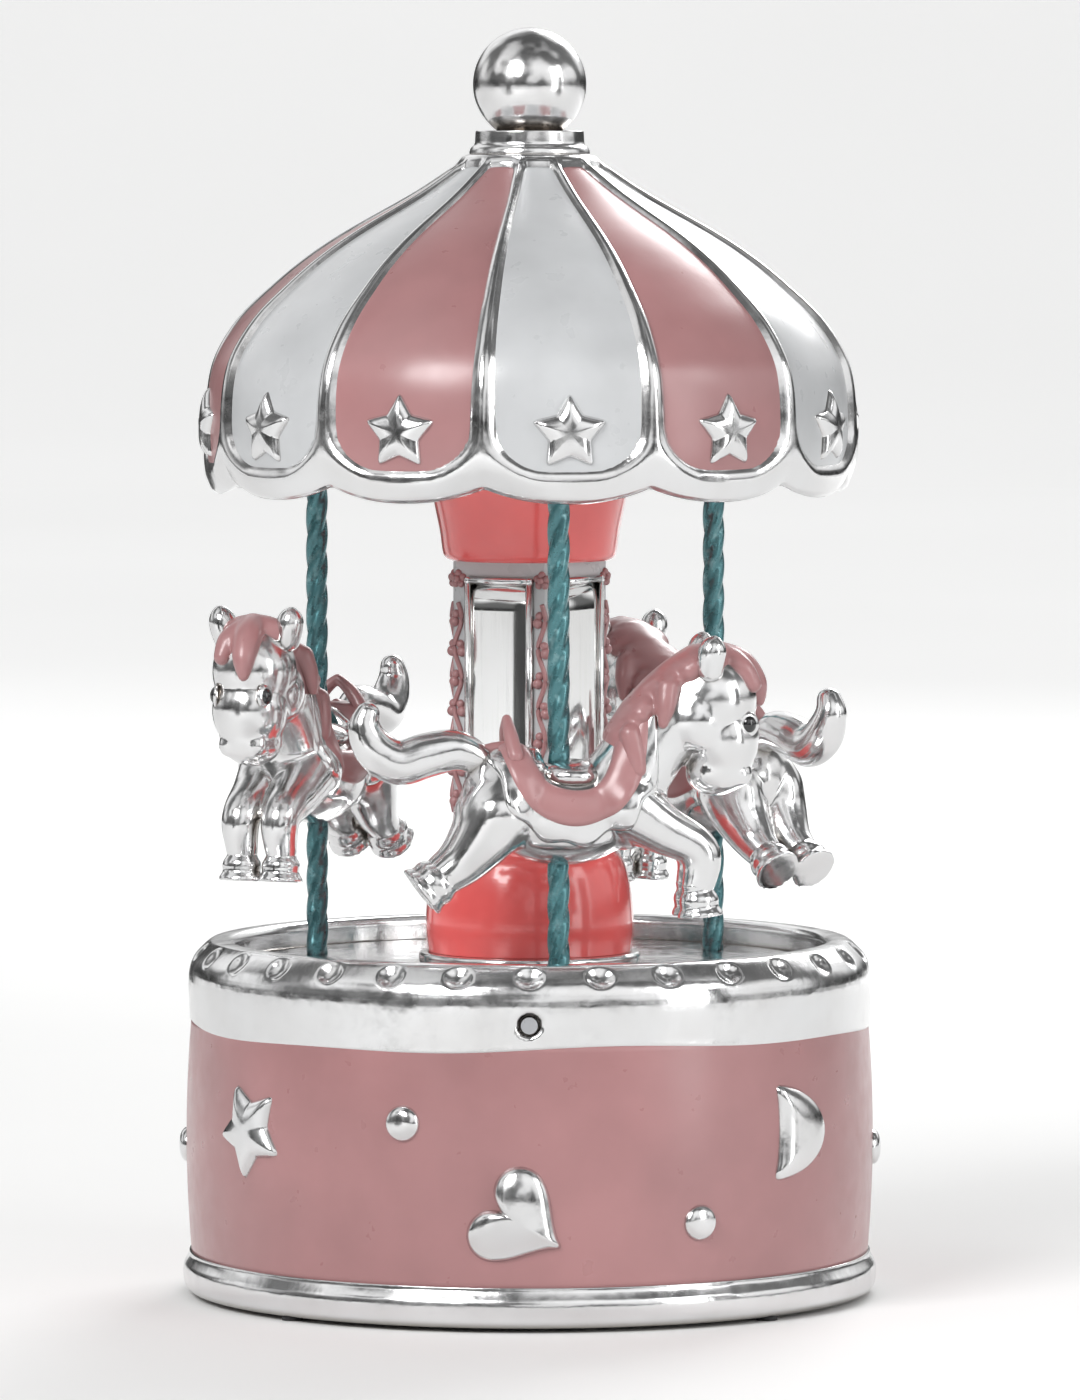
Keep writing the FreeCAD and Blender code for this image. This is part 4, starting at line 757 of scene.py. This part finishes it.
def drum_casting():
    """The plated casting round the enamel band."""
    columns, finest, bevel_slope, paint_fade, behind_band = 840, 0.3, 0.72, 5.0, 0.8
    bevel_start, rim_side = 42, 45
    outline = rounded_profile(drum_outline())
    dense = []
    for first, second in zip(outline, outline[1:]):
        on_rim = min(first.y, second.y) > BAND_HIGH
        pieces = max(1, round((second - first).length / finest)) if on_rim else 1
        dense += [first.lerp(second, step / pieces) for step in range(pieces)]
    dense.append(outline[-1])
    heights = (BAND_LOW + 0.4, 12.0, 21.0, 30.0, BAND_HIGH - 1.0)
    profile = [tuple(point) for point in dense] + [(wall_radius(z) - behind_band, z) for z in heights]

    def place(row, angle):
        radius, z = profile[row]
        in_view = row < len(dense)
        depth = bead_sink(radius, z, angle) * bevel_slope if in_view and radius > bevel_start else 0.0
        sink = screw_sink(radius, z, angle) if in_view and radius > rim_side and z > BAND_HIGH else 0.0
        rise = paint_rise(angle) * smooth_step(1 - abs(z - BAND_HIGH) / paint_fade)
        return around_z((radius - depth - sink) * MM, angle, (z - depth + rise) * MM)

    casting = lathe("drum_casting", FINISH["silver_plate"], columns, len(profile), place)
    hand_in(casting, "base", "silver_plate", "base_casing")


def drum_band():
    """The enamel band, a touch lower than the metal beside it."""
    steps, columns, sunk, back = 24, 360, 0.12, 1.1
    low_z, high_z = BAND_LOW - 0.1, BAND_HIGH + 0.6
    heights = [low_z + (high_z - low_z) * step / steps for step in range(steps + 1)]
    profile = [(wall_radius(z) - sunk, z) for z in heights]
    profile += [(wall_radius(z) - back, z) for z in reversed(heights)]
    band = turned("drum_enamel_band", FINISH["pink_enamel"], columns, profile)
    hand_in(band, "base", "pink_enamel", "drum_enamel")


BAND_ORNAMENTS = (
    ("band_stars", star(), 6.9, 1.5, [(-53, 24.9, 188)]),
    ("band_hearts", heart(), 7.3, 1.8, [(-2, 14.9, -58)]),
    ("band_moons", moon(), 6.4, 1.7, [(51, 24.9, 2)]),
    ("band_dots", disc(), 2.4, 1.1, [(-21, 27.4, 0), (29, 14.0, 0), (88, 19.9, 0)]),
)


def band_ornaments():
    """The raised ornaments of the band, the same again on the back."""
    ground = 0.15
    for node, reaches, size, thickness, spots in BAND_ORNAMENTS:
        mesh = bmesh.new()
        for half in (0, 180):
            for degrees, height, tilt in spots:
                centre = math.radians(degrees + half)

                def wrap(across, up, out):
                    z = height + up
                    radius = wall_radius(z) - ground + out
                    return around_z(radius * MM, centre + across / END_RADIUS, z * MM)

                puffed(mesh, reaches, size, thickness, wrap, math.radians(tilt))
        cast(f"{node}_relief", mesh, "base", "silver_plate", node)


# ---------------------------------------------------------------- poles


def rope_pole(number):
    """A pole cast as a twisted rope of three strands."""
    node = f"pole_{number}"
    spot, bottom, top = middle(node), low(node).z, high(node).z
    radius = (high(node).x - low(node).x) / 2
    strands, lead, groove, roundness, row_height = 3, 13.5 * MM, 0.26, 0.7, 0.5 * MM
    columns, rows = 36, round((top - bottom) / row_height)

    def place(row, angle):
        z = bottom + (top - bottom) * row / rows
        wave = abs(math.cos(strands / 2 * (angle - TURN * z / lead)))
        return spot.xy.to_3d() + around_z(radius * (1 - groove + groove * wave ** roundness), angle, z)

    pole = lathe(f"{node}_rope", FINISH["teal_lacquer"], columns, rows + 1, place, closed=False)
    cap_ends(pole)
    hand_in(pole, "carousel", "teal_lacquer", node)


def cap_ends(thing):
    """Close the open ends of a mesh."""
    mesh = bmesh.new()
    mesh.from_mesh(thing.data)
    bmesh.ops.holes_fill(mesh, edges=[edge for edge in mesh.edges if edge.is_boundary])
    bmesh.ops.recalc_face_normals(mesh, faces=mesh.faces)
    mesh.to_mesh(thing.data)
    mesh.free()


# ---------------------------------------------------------------- cast lumps


def ball(mesh, centre, radii, turn=0.0):
    """An ellipsoid lump, turned in the plane of X and Z."""
    place = Matrix.Translation(Vector(centre) * MM) @ Matrix.Rotation(turn, 4, "Y")
    stretch = Matrix.Diagonal((*(radius * MM for radius in radii), 1.0))
    bmesh.ops.create_icosphere(mesh, subdivisions=4, radius=1.0, matrix=place @ stretch)


def bead(mesh, spot, radius):
    """A small ball at a place in metres, its radius in millimetres."""
    bmesh.ops.create_icosphere(mesh, subdivisions=3, radius=radius * MM, matrix=Matrix.Translation(spot))


def limb(mesh, points):
    """A rounded rod along a smooth line through (x, y, z, radius) points."""
    for x, y, z, radius in spline(points, 9):
        bead(mesh, Vector((x, y, z)) * MM, radius)


def melted(name, mesh, voxel, passes, slot="silver_plate"):
    """Lumps melted into one casting: a voxel skin, smoothed."""
    rough = finished(f"{name}_lumps", mesh, FINISH[slot])
    skin = rough.modifiers.new("skin", "REMESH")
    skin.mode = "VOXEL"
    skin.voxel_size = voxel * MM
    skin.use_smooth_shade = True
    smooth = rough.modifiers.new("smooth", "SMOOTH")
    smooth.factor = 0.6
    smooth.iterations = passes
    done = rough.evaluated_get(bpy.context.evaluated_depsgraph_get())
    data = bpy.data.meshes.new_from_object(done)
    data.name = name
    bpy.data.objects.remove(rough)
    data.materials.clear()
    data.materials.append(FINISH[slot])
    data.polygons.foreach_set("use_smooth", [True] * len(data.polygons))
    return data


# ---------------------------------------------------------------- ponies, at the pole, heading along X

HIND_SIDE, FORE_SIDE = 3.1, 2.9


def pony_body():
    """The casting of a plump leaping pony with a big bowed head."""
    mesh = bmesh.new()
    barrel = ((0.5, 0, 67.0), (10.0, 6.0, 6.6), 0.0)
    rump = ((-6.6, 0, 69.4), (6.4, 6.3, 6.6), 0.2)
    chest = ((8.4, 0, 69.0), (6.0, 6.0, 6.8), -0.5)
    brow = ((20.2, 0, 82.3), (6.3, 5.7, 6.4), 0.3)
    cheeks = ((21.9, 0, 77.0), (4.9, 5.2, 5.6), 0.1)
    muzzle = ((21.4, 0, 72.9), (4.5, 4.1, 3.4), -0.2)
    for centre, radii, turn in (barrel, rump, chest, brow, cheeks, muzzle):
        ball(mesh, centre, radii, turn)
    limb(mesh, [(9.0, 0, 72.0, 5.6), (13.0, 0, 77.5, 5.2), (17.5, 0, 82.0, 5.0)])
    for side in (-1, 1):
        hind, fore = HIND_SIDE * side, FORE_SIDE * side
        ball(mesh, (-8.4, hind * 1.15, 67.4), (5.0, 3.6, 6.0), 0.5)
        limb(mesh, [(-8.4, hind * 1.1, 67.4, 4.6), (-10.2, hind * 1.1, 64.4, 3.9), (-12.8, hind, 61.2, 3.0),
                    (-15.2, hind, 59.4, 2.5)])
        limb(mesh, [(9.2, fore, 68.2, 4.2), (13.4, fore, 65.4, 3.4), (17.6, fore, 63.2, 2.8),
                    (18.8, fore, 61.2, 2.6), (18.2, fore, 57.8, 2.2)])
        ball(mesh, (18.0, 3.4 * side, 79.6), (3.6, 2.6, 4.0))
        ball(mesh, (23.9, 2.0 * side, 72.4), (1.7, 1.6, 1.7))
    return melted("pony_casting", mesh, 0.34, 14)


def pony_trim():
    """Ears, tail and hooves, plated like the body."""
    mesh = bmesh.new()
    limb(mesh, [(-10.4, 0, 74.4, 2.0), (-13.6, 0, 75.8, 2.7), (-17.5, 0, 75.2, 3.0), (-21.2, 0, 74.2, 3.0),
                (-24.2, 0, 75.8, 2.8), (-25.8, 0, 78.6, 2.2), (-25.4, 0, 80.6, 1.7)])
    for side in (-1, 1):
        limb(mesh, [(19.6, 4.4 * side, 86.6, 1.9), (19.8, 5.0 * side, 88.8, 1.9),
                    (20.0, 5.3 * side, 90.2, 0.9)])
        hoof(mesh, Vector((-14.6, HIND_SIDE * side, 59.8)), Vector((-0.80, 0, -0.60)), 4.6, 2.5, 3.3)
        hoof(mesh, Vector((18.1, FORE_SIDE * side, 58.2)), Vector((0.10, 0, -1.0)), 4.4, 2.1, 3.1)
    return melted("pony_trim", mesh, 0.28, 3)


def hoof(mesh, start, way, reach, near, far):
    """A flared cuff and hoof with two grooves round it, made of thin slices."""
    steps, groove, overlap = 24, 0.35, 1.2
    way = way.normalized()
    turn = way.to_track_quat("Z", "Y").to_matrix().to_4x4()
    for step in range(steps + 1):
        share = step / steps
        radius = (near + (far - near) * share - groove * abs(math.sin(TURN * share)) ** 3) * MM
        place = Matrix.Translation((start + way * reach * share) * MM) @ turn
        bmesh.ops.create_cone(mesh, cap_ends=True, segments=40, radius1=radius, radius2=radius,
                              depth=reach / steps * overlap * MM, matrix=place)


def pony_mane():
    """The mane up to the poll with locks on its sides, the forelock and the strap to the tail."""
    mesh = bmesh.new()
    steps, thick, wide, ripple, pitch = 4, 2.5, 4.6, 0.7, 1.9
    crest = [(8.6, 74.4), (8.4, 77.4), (10.6, 80.6), (13.0, 83.2), (15.6, 85.4), (18.4, 87.2), (20.8, 87.6)]
    for (x, z), (next_x, next_z) in zip(crest, crest[1:]):
        for step in range(steps):
            share = step / steps
            here = (x + (next_x - x) * share, 0, z + (next_z - z) * share)
            ball(mesh, here, (thick, wide + ripple * math.sin(here[0] * pitch), thick))
    for side in (-1, 1):
        limb(mesh, [(14.0, 4.2 * side, 84.0, 1.6), (13.6, 5.0 * side, 81.6, 1.3),
                    (13.2, 5.4 * side, 79.4, 0.7)])
        limb(mesh, [(9.0, 4.4 * side, 78.0, 1.5), (9.6, 5.0 * side, 75.4, 1.4), (9.9, 5.2 * side, 73.4, 1.2)])
    limb(mesh, [(20.8, 0, 88.2, 2.0), (24.2, 0.8, 87.0, 2.0), (26.4, 1.2, 84.4, 1.6), (27.0, 1.4, 82.0, 0.8)])
    limb(mesh, [(20.8, 0, 88.2, 2.0), (23.8, -1.8, 86.6, 1.8), (25.6, -2.4, 84.4, 1.2)])
    limb(mesh, [(-6.5, 0, 76.2, 1.0), (-9.0, 0, 76.0, 0.8), (-11.2, 0, 75.4, 0.8)])
    for side in (-1, 1):
        limb(mesh, [(-6.9, 0, 79.9, 0.7), (-6.7, 2.2 * side, 78.0, 1.0), (-6.2, 4.2 * side, 75.2, 1.1)])
    return melted("pony_mane", mesh, 0.3, 4, "pink_enamel")


def pattern(thing):
    """Keep the mesh of a thing as a pattern for copies, and drop the thing."""
    data = thing.data
    bpy.data.objects.remove(thing)
    return data


def pony_cloth(skin, name, slot, inner, outer, thickness, waves):
    """A cloth laid on the skin round the seat, between an inner and an outer oval with a wavy edge."""
    around, across, sunk, wave_count = 144, 10, 0.6, 12
    axis_height, centre = 67.5, 1.7

    def place(row, angle):
        outside = row <= across
        share = (row if outside else 2 * across + 1 - row) / across
        wave = 1 + waves * math.sin(wave_count * angle) * share
        long, round_body = ((near + (far - near) * share) * wave for near, far in zip(inner, outer))
        way = Vector((0.0, math.sin(round_body * math.sin(angle)), math.cos(round_body * math.sin(angle))))
        start = Vector((centre + math.cos(angle) * long, 0.0, axis_height)) * MM
        spot, _, _, _ = skin.ray_cast(start, way)
        swell = thickness * (1 - (2 * share - 1) ** 4) ** 0.5
        return spot + way * (swell if outside else -sunk) * MM

    return pattern(lathe(name, FINISH[slot], around, 2 * across + 2, place))


def pony_seat():
    """The plated seat of the saddle round the pole."""
    mesh = bmesh.new()
    ball(mesh, (1.6, 0, 72.4), (4.6, 5.2, 2.2))
    limb(mesh, [(-3.2, -2.6, 73.6, 1.2), (-3.6, 0, 75.0, 1.3), (-3.2, 2.6, 73.6, 1.2)])
    limb(mesh, [(6.4, -2.4, 73.6, 1.1), (6.8, 0, 74.9, 1.2), (6.4, 2.4, 73.6, 1.1)])
    return melted("pony_seat", mesh, 0.3, 3)


def pony_eyes(skin):
    """Black beads for eyes in plated rims."""
    beads, rims = bmesh.new(), bmesh.new()
    head, bead_radius, rim_radius, proud = Vector((23.6, 0, 79.0)) * MM, 1.0, 1.5, 0.15
    for side in (-1, 1):
        way = Vector((0.35, side, 0.05)).normalized()
        spot, _, _, _ = skin.ray_cast(head, way)
        turn = way.to_track_quat("Z", "Y").to_matrix().to_4x4()
        for mesh, radius, out, stretch in ((beads, bead_radius, proud, (1.0, 1.15, 0.7, 1.0)),
                                           (rims, rim_radius, 0.0, (1.0, 1.1, 0.32, 1.0))):
            place = Matrix.Translation(spot + way * out * MM) @ turn @ Matrix.Diagonal(stretch)
            bmesh.ops.create_icosphere(mesh, subdivisions=4, radius=radius * MM, matrix=place)
    return (pattern(finished("pony_eye_pattern", beads, EYE_FINISH)),
            pattern(finished("pony_eye_rim_pattern", rims, FINISH["silver_plate"])))


def ponies():
    """The three ponies, all from one pattern."""
    plate, pink = "silver_plate", "pink_enamel"
    body = pony_body()
    skin = BVHTree.FromPolygons([vertex.co for vertex in body.vertices],
                                [tuple(face.vertices) for face in body.polygons])
    eye, rim = pony_eyes(skin)
    cloth = pony_cloth(skin, "cloth_pattern", pink, (5.6, 0.98), (10.2, 1.86), 0.95, 0.0)
    blanket = pony_cloth(skin, "blanket_pattern", plate, (8.0, 1.5), (11.4, 2.28), 0.55, 0.035)
    patterns = (("casting", body, plate), ("trim", pony_trim(), plate), ("seat", pony_seat(), plate),
                ("eye_rims", rim, plate), ("mane", pony_mane(), pink), ("saddle_cloth", cloth, pink),
                ("blanket", blanket, plate), ("eyes", eye, None))
    for number in range(1, PONIES + 1):
        pole = middle(f"pole_{number}")
        lift = low(f"pony_{number}").z - low("pony_1").z
        turn = math.atan2(pole.x, -pole.y)
        place = Matrix.Translation((pole.x, pole.y, lift)) @ Matrix.Rotation(turn, 4, "Z")
        for part, shape, slot in patterns:
            data = shape.copy()
            data.transform(place)
            thing = new_thing(f"pony_{number}_{part}", data)
            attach(thing, "carousel")
            if part == "casting":
                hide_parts(f"pony_{number}")


# ---------------------------------------------------------------- column


def turned_size(node):
    """The radius, the lower and the upper height of a turned node, in millimetres."""
    return high(node).x / MM, low(node).z / MM, high(node).z / MM


def turned_piece(name, node, profile, slot):
    """A turned piece of the carousel from (radius, height) corners in millimetres."""
    hand_in(turned(name, FINISH[slot], 144, rounded_profile(profile)), "carousel", slot, node)


def column_drums():
    """The glossy capital and lower drum, with a plated foot ring."""
    bore, steps = 4.6, 8
    drum, drum_low, drum_high = turned_size("column_lower_drum")
    side = [(drum - 0.3, drum_low), (drum, drum_low + 4), (drum - 0.5, drum_low + 9),
            (drum - 1.9, drum_low + 13), (drum - 4.5, drum_high)]
    turned_piece("column_drum_casting", "column_lower_drum",
                 [(bore, drum_low)] + spline(side, steps) + [(bore, drum_high)], "column_enamel")
    ring, ring_low, ring_high = turned_size("column_foot_ring")
    hidden = drum - 2
    turned_piece("column_foot_moulding", "column_foot_ring",
                 [(hidden, ring_low, 0.1), (ring + 0.5, ring_low, 0.4), (ring + 0.6, ring_high, 0.9),
                  (hidden, ring_high, 0.1)], "silver_plate")
    cap, cap_low, cap_high = turned_size("column_capital")
    side = [(cap - 2.6, cap_low), (cap - 1.7, cap_low + 0.8), (cap - 1.2, cap_low + 4),
            (cap - 0.4, cap_low + 8), (cap, cap_high)]
    turned_piece("column_capital_casting", "column_capital",
                 [(bore, cap_low)] + spline(side, steps) + [(bore, cap_high)], "column_enamel")


def mirror_faces():
    """The directions that the four mirrors face, from the front towards +X, and how far out they stand."""
    data = frame["nodes"]["mirror_panels"].data
    widest = max((face for face in data.polygons if abs(face.normal.z) < 0.1), key=lambda face: face.area)
    facing = math.atan2(widest.normal.x, -widest.normal.y)
    out = max(vertex.co.dot(around_z(1.0, facing, 0.0)) for vertex in data.vertices)
    return [facing + TURN * step / 4 for step in range(4)], out


def tube(mesh, points, sides=12):
    """A closed rod along (point, radius) pairs in metres."""
    circle = [(math.cos(TURN * side / sides), math.sin(TURN * side / sides)) for side in range(sides)]
    rings = []
    for index, (centre, radius) in enumerate(points):
        before, after = points[max(index - 1, 0)][0], points[min(index + 1, len(points) - 1)][0]
        turn = (after - before).normalized().to_track_quat("Z", "Y")
        rings.append([mesh.verts.new(centre + turn @ Vector((radius * x, radius * y, 0))) for x, y in circle])
    join_loops(mesh, rings)
    mesh.faces.new(rings[0])
    mesh.faces.new(rings[-1][::-1])


def bowed_sheet(mesh, on_face, half, bottom, top, out, bow):
    """A grid of points on a face of the column, bowed outwards along its middle line."""
    steps = 8
    return [[mesh.verts.new(on_face(half * side / steps, bottom + (top - bottom) * rise / steps,
                                    out + bow * (1 - (side / steps) ** 2)))
             for side in range(-steps, steps + 1)] for rise in range(steps + 1)]


def column_dress():
    """The bowed mirrors in plated frames, and rosettes and vines in enamel beside them."""
    frames, scrolls, mirrors = bmesh.new(), bmesh.new(), bmesh.new()
    bottom, top = low("mirror_panels").z / MM, high("mirror_panels").z / MM
    facings, front = mirror_faces()
    core_face = front / MM - 0.1
    half, bar, bar_out, corner_radius, vine_spot = 4.75, 0.55, 0.35, 0.62, 6.51
    glass_front, glass_back, bow = 0.15, -0.5, 0.4
    for facing in facings:

        def on_face(across, z, out):
            return Matrix.Rotation(facing, 3, "Z") @ Vector((across, -(core_face + out), z)) * MM

        corners = [on_face(x, z, bar_out)
                   for x, z in ((-half, bottom), (half, bottom), (half, top), (-half, top))]
        for start, end in zip(corners, corners[1:] + corners[:1]):
            tube(frames, [(start, bar * MM), (end, bar * MM)])
        for corner in corners:
            bead(frames, corner, corner_radius)
        close_slab(mirrors, bowed_sheet(mirrors, on_face, half, bottom, top, glass_front, bow),
                   bowed_sheet(mirrors, on_face, half, bottom, top, glass_back, 0.0))
        for x in (-vine_spot, vine_spot):
            rosette(scrolls, on_face, x, top + 0.2)
            vine(scrolls, on_face, x, bottom + 1.0, top - 3.0)
    cast("mirror_frames", frames, "carousel", "silver_plate")
    cast("column_scrolls", scrolls, "carousel", "pink_enamel")
    cast("bowed_mirrors", mirrors, "carousel", "polished_mirror", "mirror_panels")


def rosette(mesh, on_face, across, z):
    """A small five-petalled flower."""
    petals, ring, petal_radius, heart_radius, heart_out = 5, 0.75, 0.55, 0.5, 0.4
    for petal in range(petals):
        turn = TURN * petal / petals
        bead(mesh, on_face(across + ring * math.sin(turn), z + ring * math.cos(turn), 0.0), petal_radius)
    bead(mesh, on_face(across, z, heart_out), heart_radius)


def vine(mesh, on_face, across, bottom, top):
    """A winding stem with a pair of leaves at each bend."""
    bends, steps, sway, stem_radius, sides = 7, 84, 0.55, 0.34, 10
    stem = []
    for step in range(steps + 1):
        share = step / steps
        aside = sway * math.sin(math.pi * bends * share)
        stem.append((on_face(across + aside, bottom + (top - bottom) * share, 0.1), stem_radius * MM))
    tube(mesh, stem, sides)
    for bend in range(bends):
        side = 1 if bend % 2 else -1
        z = bottom + (top - bottom) * (bend + 0.5) / bends
        for along, out, size in ((-0.5, 0.6, 0.75), (0.5, 0.35, 0.6)):
            bead(mesh, on_face(across + side * out, z + along, 0.0), size)


# ---------------------------------------------------------------- finial


def finial():
    """The ball on its collar."""
    rows, columns, opening = 64, 128, 0.02
    centre = middle("finial_ball").z / MM
    radius = (high("finial_ball").x - low("finial_ball").x) / 2 / MM
    turns = [opening + (math.pi - 2 * opening) * row / rows for row in range(rows + 1)]
    profile = [(radius * math.sin(turn), centre + radius * math.cos(turn)) for turn in turns]
    crown = turned("finial_sphere", FINISH["silver_plate"], columns, profile, closed=False)
    cap_ends(crown)
    hand_in(crown, "carousel", "silver_plate", "finial_ball")
    wide, bottom, top = turned_size("finial_collar")
    turned_piece("finial_neck", "finial_collar",
                 [(1.0, bottom - 0.4, 0.1), (wide + 0.9, bottom - 0.4, 0.3), (wide + 0.7, bottom + 0.5, 0.4),
                  (wide + 0.1, bottom + 0.9, 0.5), (wide, top + 0.3, 0.2), (1.0, top + 0.3, 0.1)],
                 "silver_plate")


# ---------------------------------------------------------------- assembly

add_camera()
add_room()
add_floor()
add_dark_cards(dull("card_felt", (0.045, 0.045, 0.045), 0.9, 900))
add_light("key_light", (-0.55, -0.85, 0.75), 0.5, 9.0)
add_light("fill_light", (0.95, -0.55, 0.35), 0.5, 4.0, tall=0.9)
add_light("back_light", (0.35, 0.9, 0.7), 0.5, 6.0)
dress_cad_nodes()
canopy_shell()
canopy_fields()
canopy_stars()
drum_casting()
drum_band()
band_ornaments()
finial()
column_drums()
column_dress()
for pole_number in range(1, PONIES + 1):
    rope_pole(pole_number)
ponies()
